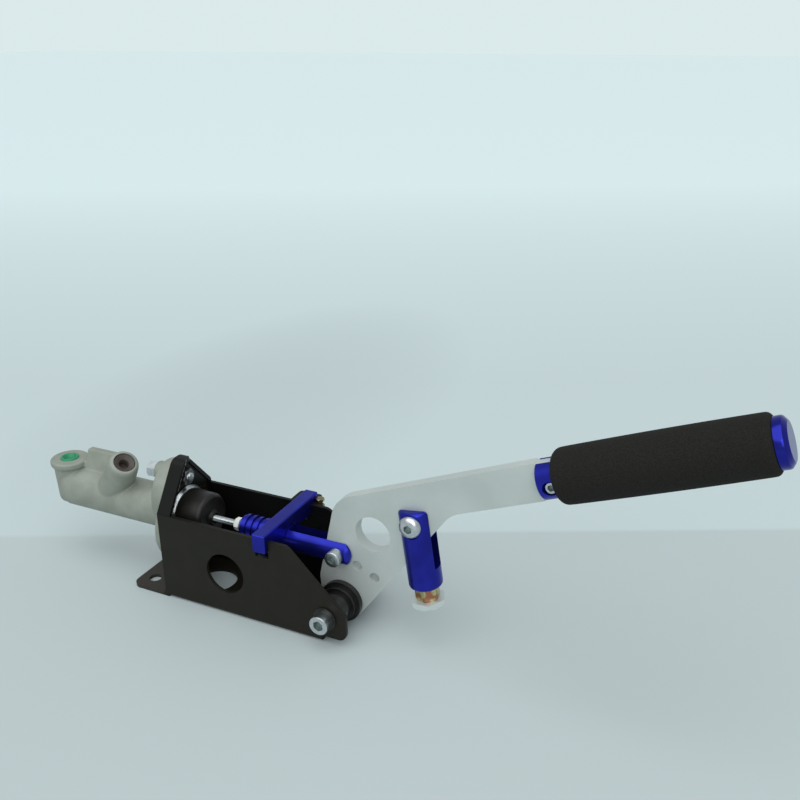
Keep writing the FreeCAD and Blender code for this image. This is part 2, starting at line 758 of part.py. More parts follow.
def make_lever_plate():
    """Thick lever plate with its pivot, fork, lightening and link holes."""
    plate = side_prism(plate_corners(), -half_plate, half_plate)
    places = [(bush_radius, pivot_x, pivot_z), (fork_bolt_radius + hole_gap, pin_x, pin_z),
              (light_hole_radius, light_hole_x, light_hole_z),
              (barrel_bolt_radius + hole_gap, barrel_bolt_x, barrel_bolt_z)]
    for radius, angle in spare_holes:
        turn = math.radians(angle)
        places.append((fork_bolt_radius + hole_gap, pivot_x + radius * math.cos(turn),
                       pivot_z + radius * math.sin(turn)))
    for distance in handle_screw_places:
        place = along_handle(distance, -handle_screw_drop)
        places.append((handle_screw_radius + hole_gap, place.x, place.z))
    cuts = [rod(r, V(x, -half_plate - 1, z), Y_AXIS, plate_thickness + 2) for r, x, z in places]
    return plate.cut(cuts)


def make_handle_tube():
    """Anodised tube, slotted at its lower end over the plate's tongue."""
    start = along_handle(tube_start)
    length = grip_end - tube_start
    tube = rod(tube_radius, start, handle_dir, length)
    tube = tube.makeChamfer(0.8, [e for e in tube.Edges if e.Closed])
    bore_start = along_handle(slot_end)
    cuts = [rod(tube_bore_radius, bore_start, handle_dir, length)]
    slot = Part.makeBox(slot_end - tube_start + 1, plate_thickness, 4 * tube_radius)
    slot.Placement = FreeCAD.Placement(
        along_handle(tube_start - 1, -2 * tube_radius) - Y_AXIS * half_plate,
        FreeCAD.Rotation(Y_AXIS, -handle_angle))
    cuts.append(slot)
    for distance in handle_screw_places:
        place = along_handle(distance, -handle_screw_drop) - Y_AXIS * 2 * tube_radius
        cuts.append(rod(handle_screw_radius + hole_gap, place, Y_AXIS, 4 * tube_radius))
        cuts.append(rod(handle_counterbore, place, Y_AXIS, 2 * tube_radius - handle_screw_seat))
    return tube.cut(cuts)


def make_handle_screws():
    """Socket screws that pin the tube to the plate, sunk below the tube's skin."""
    screws = []
    for distance in handle_screw_places:
        seat = along_handle(distance, -handle_screw_drop) - Y_AXIS * handle_screw_seat
        head = socket_head(handle_screw_head, handle_screw_height, seat, V(0, -1, 0),
                           handle_screw_radius * 1.6)
        length = handle_screw_seat + tube_radius - 2.0
        screws.append(head.fuse(rod(handle_screw_radius, seat, Y_AXIS, length)))
    return Part.makeCompound(screws)


def make_foam_grip():
    """Foam sleeve with rounded ends."""
    profile = [
        (grip_start, tube_radius, 0), (grip_start, grip_radius, grip_rounding),
        (grip_end, grip_radius, 2.5), (grip_end, tube_radius, 0),
    ]
    wire = outline(profile, lambda p: V(p.x, 0, p.y))
    grip = Part.Face(wire).revolve(V(0, 0, 0), X_AXIS, 360)
    grip.Placement = FreeCAD.Placement(handle_mid, FreeCAD.Rotation(Y_AXIS, -handle_angle))
    return grip


def make_end_cap():
    """Turned cap with a wide bevel, its spigot pushed in the tube."""
    start = along_handle(grip_end)
    cap = rod(cap_radius, start, handle_dir, cap_length)
    far = [e for e in cap.Edges if e.Closed and e.CenterOfMass.distanceToPoint(start) > cap_length / 2]
    cap = cap.makeChamfer(cap_chamfer, far)
    plug = rod(tube_bore_radius - running_gap, start - handle_dir * 12, handle_dir, 12)
    return cap.fuse(plug)


def make_fork():
    """Long round fork: grooved shank, slot for the lever and a round end about its pin."""
    length = pin_x + fork_end_radius - fork_start
    fork = rod(fork_radius, V(fork_start, 0, axis_z), X_AXIS, length)
    fork = fork.makeChamfer(1.0, [e for e in fork.Edges
                                  if e.Closed and abs(e.CenterOfMass.x - fork_start) < 0.1])
    nose = rod(fork_end_radius, V(pin_x, -fork_radius - 1, pin_z), Y_AXIS, 2 * fork_radius + 2)
    shank = box(fork_start - 1, pin_x, -fork_radius - 1, fork_radius + 1, axis_z - fork_radius - 1,
                axis_z + fork_radius + 1)
    fork = fork.common(nose.fuse(shank))
    cuts = [box(slot_root, pin_x + 2 * fork_end_radius, -slot_half, slot_half,
                axis_z - 2 * fork_radius, axis_z + 2 * fork_radius)]
    cuts.append(rod(rod_radius + thread_gap, V(fork_start - 1, 0, axis_z), X_AXIS, rod_in_fork + 2))
    for i in range(fork_groove_count):
        place = fork_start + fork_groove_pitch * (i + 1)
        cuts.append(ring(fork_radius + 2, fork_radius - fork_groove_depth, V(place, 0, axis_z), X_AXIS,
                         fork_groove_width))
    cuts.append(rod(fork_bolt_radius + running_gap, V(pin_x, -2 * fork_radius, pin_z), Y_AXIS,
                    4 * fork_radius))
    for side in (-1, 1):
        cuts.append(rod(fork_head_radius + 1.2, V(pin_x, side * fork_flat, pin_z), Y_AXIS * side,
                        fork_radius))
    return fork.cut(cuts)


def make_fork_bolt():
    """Socket head bolt that pins the fork to the lever."""
    seat = V(pin_x, -fork_flat, pin_z)
    head = socket_head(fork_head_radius, fork_head_height, seat, V(0, -1, 0), fork_bolt_radius * 1.5)
    return head.fuse(rod(fork_bolt_radius, seat, Y_AXIS, 2 * fork_flat + fork_nut_height + 1.5))


def make_fork_nut():
    """Nut of the fork bolt."""
    return nut(fork_nut_flats, fork_bolt_radius, V(pin_x, fork_flat, pin_z), Y_AXIS, fork_nut_height)


def make_push_rod():
    """Threaded rod with a round tip in the piston's seat."""
    body = rod(rod_radius, V(rod_tip_x + rod_radius, 0, axis_z), X_AXIS,
               fork_start + rod_in_fork - rod_tip_x - rod_radius)
    return body.fuse(Part.makeSphere(rod_radius, V(rod_tip_x + rod_radius, 0, axis_z))).removeSplitter()


def make_jam_nut():
    """Nut that locks the fork on the push rod."""
    return nut(jam_nut_flats, rod_radius, V(fork_start, 0, axis_z), V(-1, 0, 0), jam_nut_height, nut_turn)


def hang(shape):
    """Move a shape modelled about the link's pivot, hanging straight down, to its lean."""
    shape.Placement = FreeCAD.Placement(barrel_pivot, FreeCAD.Rotation(Y_AXIS, -barrel_lean))
    return shape


def make_link_barrel():
    """Round link body, slotted from the top over the lever, with flats under the bolt."""
    body = rod(barrel_radius, V(0, 0, -barrel_bottom), Z_AXIS, barrel_top + barrel_bottom)
    body = body.makeFillet(barrel_edge, [e for e in body.Edges if e.Closed])
    cuts = [box(-2 * barrel_radius, 2 * barrel_radius, -slot_half, slot_half, -barrel_slot_depth,
                barrel_top + 1)]
    cuts.append(rod(barrel_bolt_radius + running_gap, V(0, -2 * barrel_radius, 0), Y_AXIS,
                    4 * barrel_radius))
    seat_radius = max(barrel_head_radius, barrel_nut_flats / math.sqrt(3)) + hole_gap
    for side in (-1, 1):
        cuts.append(rod(seat_radius, V(0, side * barrel_flat, 0), Y_AXIS * side, barrel_radius))
    cuts.append(rod(stud_radius + thread_gap, V(0, 0, -barrel_bottom - 1), Z_AXIS,
                    barrel_bottom - barrel_slot_depth + 2))
    return hang(body.cut(cuts))


def make_barrel_bolt():
    """Dome head bolt through the link and the lever."""
    seat = V(0, -barrel_flat, 0)
    head = dome_head(barrel_head_radius, barrel_head_height, seat, V(0, -1, 0), barrel_bolt_radius * 1.2)
    shank = rod(barrel_bolt_radius, seat, Y_AXIS, 2 * barrel_flat + barrel_nut_height + 1.5)
    return hang(head.fuse(shank))


def make_barrel_nut():
    """Nut of the link's bolt."""
    return hang(nut(barrel_nut_flats, barrel_bolt_radius, V(0, barrel_flat, 0), Y_AXIS, barrel_nut_height))


def make_link_stud():
    """Threaded stud in the bottom of the link."""
    top = barrel_slot_depth + 1.0
    bottom = barrel_bottom + lock_nut_height + foot_nut_height
    return hang(rod(stud_radius, V(0, 0, -bottom), Z_AXIS, bottom - top))


def make_lock_nut():
    """Yellow zinc nut under the link."""
    return hang(nut(lock_nut_flats, stud_radius, V(0, 0, -barrel_bottom), V(0, 0, -1), lock_nut_height, 20))


def make_foot_nut():
    """Wide pale nut at the end of the stud."""
    start = V(0, 0, -barrel_bottom - lock_nut_height)
    return hang(nut(foot_nut_flats, stud_radius, start, V(0, 0, -1), foot_nut_height, 5))


pieces = {
    "bracket": make_bracket(),
    "cylinder_body": make_cylinder_body(),
    "outlet_plug": make_outlet_plug(),
    "inlet_plug": make_inlet_plug(),
    "flange_bolts": make_flange_bolts(),
    "flange_nuts": make_flange_nuts(),
    "boot_ring": make_boot_ring(),
    "rod_boot": make_rod_boot(),
    "circlip": make_circlip(),
    "return_spring": make_return_spring(),
    "piston": make_piston(),
    "pressure_seal": make_seal(seal_places[0]),
    "wiper_seal": make_seal(seal_places[1]),
    "cross_bar": make_cross_bar(),
    "ear_screw": make_ear_screw(),
    "ear_nuts": make_ear_nuts(),
    "pivot_bolt": make_pivot_bolt(),
    "pivot_washers": make_pivot_washers(),
    "pivot_nut": make_pivot_nut(),
    "pivot_sleeve": make_pivot_sleeve(),
    "pivot_spacer_near": make_pivot_spacer(-1),
    "pivot_spacer_far": make_pivot_spacer(1),
    "pivot_bush": make_pivot_bush(),
    "lever_plate": make_lever_plate(),
    "handle_tube": make_handle_tube(),
    "handle_screws": make_handle_screws(),
    "foam_grip": make_foam_grip(),
    "end_cap": make_end_cap(),
    "clevis_fork": make_fork(),
    "fork_bolt": make_fork_bolt(),
    "fork_nut": make_fork_nut(),
    "push_rod": make_push_rod(),
    "jam_nut": make_jam_nut(),
    "link_barrel": make_link_barrel(),
    "barrel_bolt": make_barrel_bolt(),
    "barrel_nut": make_barrel_nut(),
    "link_stud": make_link_stud(),
    "lock_nut": make_lock_nut(),
    "foot_nut": make_foot_nut(),
}

os.makedirs("parts", exist_ok=True)
for node, shape in pieces.items():
    shape.exportStep("parts/" + node + ".step")
    print(node, "solids", len(shape.Solids), "volume", round(shape.Volume), "valid", shape.isValid())
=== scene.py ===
import json
import math
import bpy
from mathutils import Matrix, Quaternion, Vector


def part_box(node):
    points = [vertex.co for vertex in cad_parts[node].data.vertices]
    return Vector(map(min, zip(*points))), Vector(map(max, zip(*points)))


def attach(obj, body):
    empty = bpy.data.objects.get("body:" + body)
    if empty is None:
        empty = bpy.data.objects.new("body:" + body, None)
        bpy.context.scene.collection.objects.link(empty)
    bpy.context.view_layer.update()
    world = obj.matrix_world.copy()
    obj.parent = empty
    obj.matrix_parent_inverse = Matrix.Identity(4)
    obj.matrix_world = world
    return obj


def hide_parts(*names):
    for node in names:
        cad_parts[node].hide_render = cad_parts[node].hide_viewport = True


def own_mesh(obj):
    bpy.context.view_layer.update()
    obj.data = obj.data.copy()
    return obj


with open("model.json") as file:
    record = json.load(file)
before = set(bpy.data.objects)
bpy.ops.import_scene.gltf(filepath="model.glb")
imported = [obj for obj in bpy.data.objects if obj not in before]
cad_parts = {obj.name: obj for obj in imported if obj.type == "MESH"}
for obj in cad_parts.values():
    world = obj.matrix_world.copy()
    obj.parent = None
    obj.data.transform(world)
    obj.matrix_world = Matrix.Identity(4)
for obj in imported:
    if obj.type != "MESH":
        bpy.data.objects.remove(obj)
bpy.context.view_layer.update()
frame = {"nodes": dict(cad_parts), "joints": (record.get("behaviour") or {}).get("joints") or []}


# Camera
# It stands in front of the handbrake and to its right, and looks down and back across it.
camera_place = Vector((0.4307, -0.5659, 0.4612))
camera_turn = math.radians(25.56)
camera_tilt = math.radians(22.24)
camera_roll = math.radians(-0.53)
bpy.ops.object.camera_add()
camera = bpy.context.object
camera.name = "camera"
camera.data.lens = 42.06
camera.data.sensor_width = 36.0
camera.matrix_world = (Matrix.Translation(camera_place) @ Matrix.Rotation(camera_turn, 4, "Z")
                       @ Matrix.Rotation(math.pi / 2 - camera_tilt, 4, "X")
                       @ Matrix.Rotation(camera_roll, 4, "Z"))
bpy.context.scene.camera = camera
bpy.context.scene.view_settings.view_transform = "Standard"


# Studio
# A pale cool grey table and sweep, lit by a wide soft light from above in front and a weak one at the right.
# The sweep's fold is the faint line behind the handbrake, and a soft shadow is painted on the sweep.
def new_finish(name, colour, roughness, metallic=0.0):
    """A material with one shader: returns it with the shader and the place on the piece."""
    made = bpy.data.materials.new(name)
    made.use_nodes = True
    shader = made.node_tree.nodes["Principled BSDF"]
    shader.inputs["Base Color"].default_value = (*colour, 1.0)
    shader.inputs["Roughness"].default_value = roughness
    shader.inputs["Metallic"].default_value = metallic
    coordinates = made.node_tree.nodes.new("ShaderNodeTexCoord")
    return made, shader, coordinates.outputs["Object"]


def add_noise(made, place, scale, detail=3.0, stretch=(1.0, 1.0, 1.0), turn=(0.0, 0.0, 0.0)):
    """Soft noise on the piece, with its pattern stretched and turned where a finish has a grain."""
    nodes = made.node_tree.nodes
    mapping = nodes.new("ShaderNodeMapping")
    mapping.inputs["Scale"].default_value = stretch
    mapping.inputs["Rotation"].default_value = turn
    noise = nodes.new("ShaderNodeTexNoise")
    noise.inputs["Scale"].default_value = scale
    noise.inputs["Detail"].default_value = detail
    made.node_tree.links.new(place, mapping.inputs["Vector"])
    made.node_tree.links.new(mapping.outputs["Vector"], noise.inputs["Vector"])
    return noise.outputs["Fac"]


def add_range(made, value, low, high, start=0.0, end=1.0):
    """A value brought from one range to another, held at its ends."""
    node = made.node_tree.nodes.new("ShaderNodeMapRange")
    node.inputs["From Min"].default_value = low
    node.inputs["From Max"].default_value = high
    node.inputs["To Min"].default_value = start
    node.inputs["To Max"].default_value = end
    made.node_tree.links.new(value, node.inputs["Value"])
    return node.outputs["Result"]


def add_mix(made, share, first, second):
    """One colour over another: each is a colour or another node's output."""
    node = made.node_tree.nodes.new("ShaderNodeMix")
    node.data_type = "RGBA"
    made.node_tree.links.new(share, node.inputs["Factor"])
    for socket, colour in (("A", first), ("B", second)):
        target = [s for s in node.inputs if s.name == socket and s.type == "RGBA"][0]
        if isinstance(colour, tuple):
            target.default_value = (*colour, 1.0)
        else:
            made.node_tree.links.new(colour, target)
    return [s for s in node.outputs if s.type == "RGBA"][0]


def add_bump(made, shader, height, strength, distance):
    """Small relief on the surface."""
    node = made.node_tree.nodes.new("ShaderNodeBump")
    node.inputs["Strength"].default_value = strength
    node.inputs["Distance"].default_value = distance
    made.node_tree.links.new(height, node.inputs["Height"])
    made.node_tree.links.new(node.outputs["Normal"], shader.inputs["Normal"])


def add_maths(made, operation, first, second):
    """A sum on values: each is a number or another node's output."""
    node = made.node_tree.nodes.new("ShaderNodeMath")
    node.operation = operation
    for socket, value in zip(node.inputs, (first, second)):
        if isinstance(value, (int, float)):
            socket.default_value = value
        else:
            made.node_tree.links.new(value, socket)
    return node.outputs["Value"]


def add_axes(made, place):
    """The three coordinates of a place, apart."""
    node = made.node_tree.nodes.new("ShaderNodeSeparateXYZ")
    made.node_tree.links.new(place, node.inputs["Vector"])
    return node.outputs["X"], node.outputs["Y"], node.outputs["Z"]


table_colour = (0.47, 0.53, 0.54)
sweep_colour = (0.53, 0.61, 0.62)
far_colour = (0.71, 0.82, 0.83)
painted_sweep_shadow = (0.44, 0.51, 0.515)
fold_distance = 0.789
fold_blur = 0.003
far_start = 0.4
far_end = 2.0
# Painted shadow: a soft darker patch on the sweep behind the handbrake, laid in its colour.
shade_middle = (-0.23, 0.38)
shade_reach = (0.15, 0.30)
shade_limit = 2.6
shade_strength = 0.55
table_finish, table_shader, table_place = new_finish("table_finish", table_colour, 0.6)
across, along, up = add_axes(table_finish, table_place)
heading = Vector((-math.sin(camera_turn), math.cos(camera_turn)))
reach = add_maths(table_finish, "ADD", add_maths(table_finish, "MULTIPLY", across, heading.x),
                  add_maths(table_finish, "MULTIPLY", along, heading.y))
fold = fold_distance + camera_place.x * heading.x + camera_place.y * heading.y
past_fold = add_range(table_finish, reach, fold - fold_blur, fold + fold_blur)
far_share = add_range(table_finish, reach, fold + far_start, fold + far_end)
squares = []
for value, middle, half in zip((across, along), shade_middle, shade_reach):
    offset = add_maths(table_finish, "MULTIPLY", add_maths(table_finish, "SUBTRACT", value, middle), 1 / half)
    squares.append(add_maths(table_finish, "POWER", add_maths(table_finish, "ABSOLUTE", offset, 0.0), 2.0))
from_shade = add_maths(table_finish, "ADD", *squares)
shade_share = add_range(table_finish, from_shade, 0.0, shade_limit, shade_strength, 0.0)
sweep_mix = add_mix(table_finish, far_share, sweep_colour, far_colour)
sweep_mix = add_mix(table_finish, shade_share, sweep_mix, painted_sweep_shadow)
table_mix = add_mix(table_finish, past_fold, table_colour, sweep_mix)
table_finish.node_tree.links.new(table_mix, table_shader.inputs["Base Color"])
bpy.ops.mesh.primitive_plane_add(size=24.0, location=(0.0, 0.0, -0.0003))
table = bpy.context.object
table.name = "table"
table.data.materials.append(table_finish)

world = bpy.data.worlds.new("room")
bpy.context.scene.world = world
world.use_nodes = True
room = world.node_tree
room_light = room.nodes["Background"]
room_light.inputs["Color"].default_value = (0.92, 0.98, 1.0, 1.0)
room_light.inputs["Strength"].default_value = 0.55
room_seen = room.nodes.new("ShaderNodeBackground")
room_seen.inputs["Color"].default_value = (*far_colour, 1.0)
room_choice = room.nodes.new("ShaderNodeMixShader")
room_path = room.nodes.new("ShaderNodeLightPath")
room.links.new(room_path.outputs["Is Camera Ray"], room_choice.inputs["Fac"])
room.links.new(room_light.outputs["Background"], room_choice.inputs[1])
room.links.new(room_seen.outputs["Background"], room_choice.inputs[2])
room.links.new(room_choice.outputs["Shader"], room.nodes["World Output"].inputs["Surface"])


def add_lamp(name, kind, place, power, width, colour):
    """A soft light at a place, looking at the handbrake: a far one as a wide disc, a near one as a square."""
    bpy.ops.object.light_add(type=kind, location=place)
    lamp = bpy.context.object
    lamp.name = name
    lamp.data.energy = power
    lamp.data.color = colour
    if kind == "SUN":
        lamp.data.angle = math.radians(width)
    else:
        lamp.data.size = width
    lamp.rotation_euler = (-Vector(place)).to_track_quat("-Z", "Y").to_euler()


add_lamp("overhead_light", "SUN", (0.0, -0.65, 1.35), 1.75, 75.0, (0.96, 1.0, 1.0))
add_lamp("front_light", "AREA", (0.9, -1.3, 0.9), 4.0, 0.8, (1.0, 1.0, 0.98))


# Bracket
# Floor, walls, foot and hooded end plate, cut and folded from steel sheet and welded.
# It is black powder coated, and the coat is worn bright along the hood's inner edge. The hood above the walls and
# the far wall's inner face carry painted shade, a darker coat colour.
def put_finish(made, *pieces):
    """Give pieces one material."""
    for piece in pieces:
        piece.data.materials.clear()
        piece.data.materials.append(made)


def select_only(piece):
    """Select one piece and nothing else."""
    bpy.ops.object.select_all(action="DESELECT")
    piece.select_set(True)
    bpy.context.view_layer.objects.active = piece


def apply_modifiers(piece):
    """Apply every modifier of a piece, in order."""
    select_only(piece)
    for modifier in list(piece.modifiers):
        bpy.ops.object.modifier_apply(modifier=modifier.name)


def stand_for(piece, body, slot, *nodes):
    """The piece rides with its body and is shown in place of the nodes; the slot is not used."""
    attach(piece, body)
    if nodes:
        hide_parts(*nodes)


def finish_edges(piece, edge, sharp=35.0):
    """Round off the sharp edges of a piece and keep its flat faces flat."""
    bevel = piece.modifiers.new("edge", "BEVEL")
    bevel.width = edge
    bevel.segments = 2
    bevel.limit_method = "ANGLE"
    bevel.angle_limit = math.radians(sharp)
    apply_modifiers(piece)
    bpy.ops.object.shade_smooth_by_angle(angle=math.radians(sharp))
    weigh = piece.modifiers.new("flat_faces", "WEIGHTED_NORMAL")
    weigh.keep_sharp = True
    apply_modifiers(piece)


def combine(piece, tools, operation="DIFFERENCE"):
    """Cut shapes out of a piece, or keep only what is common, and delete the shapes."""
    for tool in tools:
        cut = piece.modifiers.new("cut", "BOOLEAN")
        cut.operation = operation
        cut.solver = "EXACT"
        cut.object = tool
        apply_modifiers(piece)
        bpy.data.objects.remove(tool)


def merged_copy(node, name):
    """A copy of a solid's mesh, its loose triangles merged."""
    piece = bpy.data.objects.new(name, frame["nodes"][node].data.copy())
    bpy.context.scene.collection.objects.link(piece)
    select_only(piece)
    bpy.ops.object.mode_set(mode="EDIT")
    bpy.ops.mesh.select_all(action="SELECT")
    bpy.ops.mesh.customdata_custom_splitnormals_clear()
    bpy.ops.mesh.remove_doubles(threshold=1e-6)
    bpy.ops.object.mode_set(mode="OBJECT")
    return piece


def rounded_copy(node, name, edge, sharp=35.0, trims=(), cutters=()):
    """A copy of a solid's mesh, trimmed and cut where it is asked, with its sharp edges rounded off."""
    piece = merged_copy(node, name)
    bpy.ops.object.mode_set(mode="EDIT")
    bpy.ops.mesh.select_all(action="SELECT")
    bpy.ops.mesh.dissolve_limited(angle_limit=math.radians(0.4))
    bpy.ops.object.mode_set(mode="OBJECT")
    combine(piece, trims, "INTERSECT")
    combine(piece, cutters)
    finish_edges(piece, edge, sharp)
    return piece


def add_bar(radius, start, end, far_radius=None, sides=64):
    """A round or tapered bar from one point to another."""
    run = Vector(end) - Vector(start)
    bpy.ops.mesh.primitive_cone_add(vertices=sides, radius1=radius,
                                    radius2=radius if far_radius is None else far_radius,
                                    depth=run.length, location=Vector(start) + run / 2,
                                    rotation=run.to_track_quat("Z", "Y").to_euler())
    return bpy.context.object


coat_colour = (0.0110, 0.0095, 0.0062)
coat_worn = (0.22, 0.23, 0.21)
coat_dusty = (0.040, 0.035, 0.030)
coat_painted_shade = (0.0035, 0.0033, 0.0030)
sheet = 0.003
hood_edge = -0.0362
hood_shoulder = Vector((-0.035, 0.080))
hood_peak = Vector((-0.009, 0.1193))
foot_edge = -0.0505
far_wall_hole = Vector((0.0551, 0.0335, 0.0654))
far_wall_hole_radius = 0.0012
floor_opening = Vector((-0.021, 0, sheet / 2))
floor_opening_radius = 0.018
through_wall = Vector((0, sheet, 0))
through_floor = Vector((0, 0, sheet))
pivot = Vector((0.1095, 0, 0.023))
tip_trim_size = Vector((0.025, 0.0060, 0.0290))
tip_trim_middle = 0.0185
tip_reach = 0.0120
tip_stretch = 1.42
tip_sides = (0.026, 0.041)
black_coat, coat_shader, coat_place = new_finish("black_coat", coat_colour, 0.45)
coat_shader.inputs["Specular IOR Level"].default_value = 0.2
add_bump(black_coat, coat_shader, add_noise(black_coat, coat_place, 900.0, 2.0), 0.35, 0.0002)
coat_x, coat_y, coat_z = add_axes(black_coat, coat_place)
hood_run = (hood_peak - hood_shoulder).normalized()
hood_out = Vector((-hood_run.y, hood_run.x))
from_edge = add_maths(black_coat, "ADD", add_maths(black_coat, "MULTIPLY", coat_y, hood_out.x),
                      add_maths(black_coat, "MULTIPLY", coat_z, hood_out.y))
from_edge = add_maths(black_coat, "SUBTRACT", from_edge, hood_shoulder.dot(hood_out) - sheet)
from_edge = add_maths(black_coat, "ABSOLUTE", from_edge, 0.0)
worn_share = add_range(black_coat, from_edge, 0.0002, 0.0007, 1.0, 0.0)
on_rim = add_range(black_coat, coat_x, hood_edge - 0.0009, hood_edge - 0.0005)
above_wall = add_range(black_coat, coat_z, 0.079, 0.081)
patches = add_range(black_coat, add_noise(black_coat, coat_place, 420.0, 4.0), 0.42, 0.55)
for mask in (on_rim, above_wall, patches):
    worn_share = add_maths(black_coat, "MULTIPLY", worn_share, mask)
dust = add_range(black_coat, add_noise(black_coat, coat_place, 60.0, 5.0), 0.35, 0.75, 0.0, 0.10)
foot_share = add_range(black_coat, coat_x, foot_edge, foot_edge - 0.002, 0.0, 0.75)
coat_mix = add_mix(black_coat, dust, coat_colour, coat_dusty)
coat_mix = add_mix(black_coat, foot_share, coat_mix, coat_dusty)
# Painted shade: the hood above the walls and the far wall's inner face take a darker coat colour for the shade
# there.
on_far_wall = add_range(black_coat, coat_y, 0.030, 0.031)
painted_shade_share = add_maths(black_coat, "MAXIMUM", above_wall, on_far_wall)
coat_mix = add_mix(black_coat, painted_shade_share, coat_mix, coat_painted_shade)
coat_mix = add_mix(black_coat, worn_share, coat_mix, coat_worn)
black_coat.node_tree.links.new(coat_mix, coat_shader.inputs["Base Color"])
drilled = add_bar(far_wall_hole_radius, far_wall_hole - through_wall, far_wall_hole + through_wall, sides=24)
opened = add_bar(floor_opening_radius, floor_opening - through_floor, floor_opening + through_floor)
bpy.ops.mesh.primitive_cube_add(
    size=1.0, location=(pivot.x + tip_trim_size.x / 2, far_wall_hole.y, tip_trim_middle), scale=tip_trim_size)
tip_trim = bpy.context.object
round_tip = add_bar(1.0, *((pivot.x, side, pivot.z) for side in tip_sides))
for point in round_tip.data.vertices:
    point.co.x *= tip_reach
    point.co.y *= tip_reach * tip_stretch
combine(tip_trim, [round_tip])
bracket = rounded_copy("bracket", "bracket_sheet", 0.0004, cutters=[drilled, opened, tip_trim])
put_finish(black_coat, bracket)
stand_for(bracket, "base", "black_coat", "bracket")


# Master cylinder
# One aluminium casting: flange, barrel, upright outlet, leaning inlet and the block behind them.
# Everything runs together in soft fillets; only the seats of the plugs are bored.
axis_z = [j for j in frame["joints"] if j["name"] == "rod_hinge"][0]["pos_m"][2]
flange_right = -0.049
flange_left = -0.062
flange_waist = 0.0235
flange_ears = 0.0235
flange_sharpness = 1.6
flange_narrowing = 0.12
flange_bolt_offset = 0.0345
boss_radius = 0.0085
boss_run = 0.0095
overlap = 0.002
barrel_left = -0.1765
barrel_radius = 0.0188
outlet_x = -0.175
outlet_top = 0.092
outlet_foot = 0.0515
inlet_x = -0.128
inlet_lean = Vector((0.564, -0.242, math.sqrt(1 - 0.564 ** 2 - 0.242 ** 2)))
inlet_length = 0.0536
block_size = Vector((0.033, 0.0210))
block_place = Vector((-0.1425, 0.0015))
block_top = 0.1018
block_taper = Vector((0.88, 0.29))
block_shift = Vector((0.0004, 0.0070))
cylinder_bore = 0.0095
cylinder_bore_left = -0.120
outlet_plug_depth = 0.003
inlet_plug_depth = 0.011
voxel = 0.0008


def add_turned(name, profile, start, direction, sides=64, relief=None):
    """A turned piece: a grid wrapped round a line, its profile given as distances and radii."""
    bpy.ops.object.select_all(action="DESELECT")
    rows = len(profile) - 1
    bpy.ops.mesh.primitive_grid_add(x_subdivisions=sides, y_subdivisions=rows, size=2.0)
    piece = bpy.context.object
    piece.name = name
    piece.data.name = name
    place = Matrix.Translation(Vector(start)) @ Vector(direction).to_track_quat("Z", "Y").to_matrix().to_4x4()
    for point in piece.data.vertices:
        angle = math.pi * point.co.x
        distance, radius = profile[round((point.co.y + 1) / 2 * rows)]
        if relief is not None:
            radius += relief(angle, distance)
        point.co = place @ Vector((radius * math.cos(angle), radius * math.sin(angle), distance))
    bpy.ops.object.mode_set(mode="EDIT")
    bpy.ops.mesh.select_all(action="SELECT")
    bpy.ops.mesh.remove_doubles(threshold=1e-7)
    bpy.ops.mesh.normals_make_consistent(inside=False)
    bpy.ops.object.mode_set(mode="OBJECT")
    return piece


def join_all(parts, name):
    """Join parts in one object at the origin, its place in its mesh."""
    bpy.ops.object.select_all(action="DESELECT")
    for part in parts:
        part.select_set(True)
    bpy.context.view_layer.objects.active = parts[0]
    bpy.ops.object.join()
    joined = bpy.context.object
    bpy.ops.object.transform_apply(location=True, rotation=True, scale=True)
    joined.name = name
    joined.data.name = name
    return joined


barrel_run = flange_left + overlap - barrel_left
barrel_profile = [(0, 0), (0, 0.0125), (0.0010, 0.0158), (0.0030, 0.0180), (0.0060, barrel_radius),
                  (barrel_run, barrel_radius), (barrel_run, 0)]
column_run = outlet_top - 0.002 - outlet_foot
column_profile = [(0, 0), (0, 0.0098), (0.0010, 0.0122), (0.0034, 0.0134), (column_run, 0.0150),
                  (column_run, 0)]
head_profile = [(0, 0), (0, 0.0140), (0.0022, 0.0170), (0.0062, 0.0172), (0.0074, 0.0162), (0.0074, 0)]
inlet_profile = [(0, 0), (0, 0.0160), (0.0480, 0.0131), (0.0508, 0.0127), (0.0524, 0.0120),
                 (0.0533, 0.0111), (inlet_length, 0.0106), (inlet_length, 0)]
inlet_root = Vector((inlet_x, 0, axis_z))
parts = [
    add_turned("barrel", barrel_profile, (barrel_left, 0, axis_z), (1, 0, 0)),
    add_turned("outlet_column", column_profile, (outlet_x, 0, outlet_foot), (0, 0, 1)),
    add_turned("outlet_head", head_profile, (outlet_x, 0, outlet_top - 0.0074), (0, 0, 1)),
    add_turned("inlet_neck", inlet_profile, inlet_root, inlet_lean),
    add_bar(0.0186, (flange_right - 0.002, 0, axis_z), (flange_right + 0.009, 0, axis_z)),
]
bpy.ops.mesh.primitive_cylinder_add(vertices=96, radius=1.0, depth=flange_right - flange_left,
                                    location=((flange_left + flange_right) / 2, 0, axis_z),
                                    rotation=(0, math.pi / 2, 0))
flange = bpy.context.object
bpy.ops.object.transform_apply(location=False, rotation=True, scale=False)
for point in flange.data.vertices:
    angle = math.atan2(point.co.y, point.co.z)
    rise = abs(math.cos(angle)) ** flange_sharpness
    half = flange_waist + flange_ears * rise
    point.co.y = math.sin(angle) * half * (1.0 - flange_narrowing * rise)
    point.co.z = math.cos(angle) * half
parts.append(flange)
block_middle = (*block_place, (axis_z + block_top) / 2)
bpy.ops.mesh.primitive_cube_add(size=1.0, location=block_middle, scale=(*block_size, block_top - axis_z))
block = bpy.context.object
for point in block.data.vertices:
    if point.co.z > 0:
        point.co.x = point.co.x * block_taper.x + block_shift.x
        point.co.y = point.co.y * block_taper.y + block_shift.y
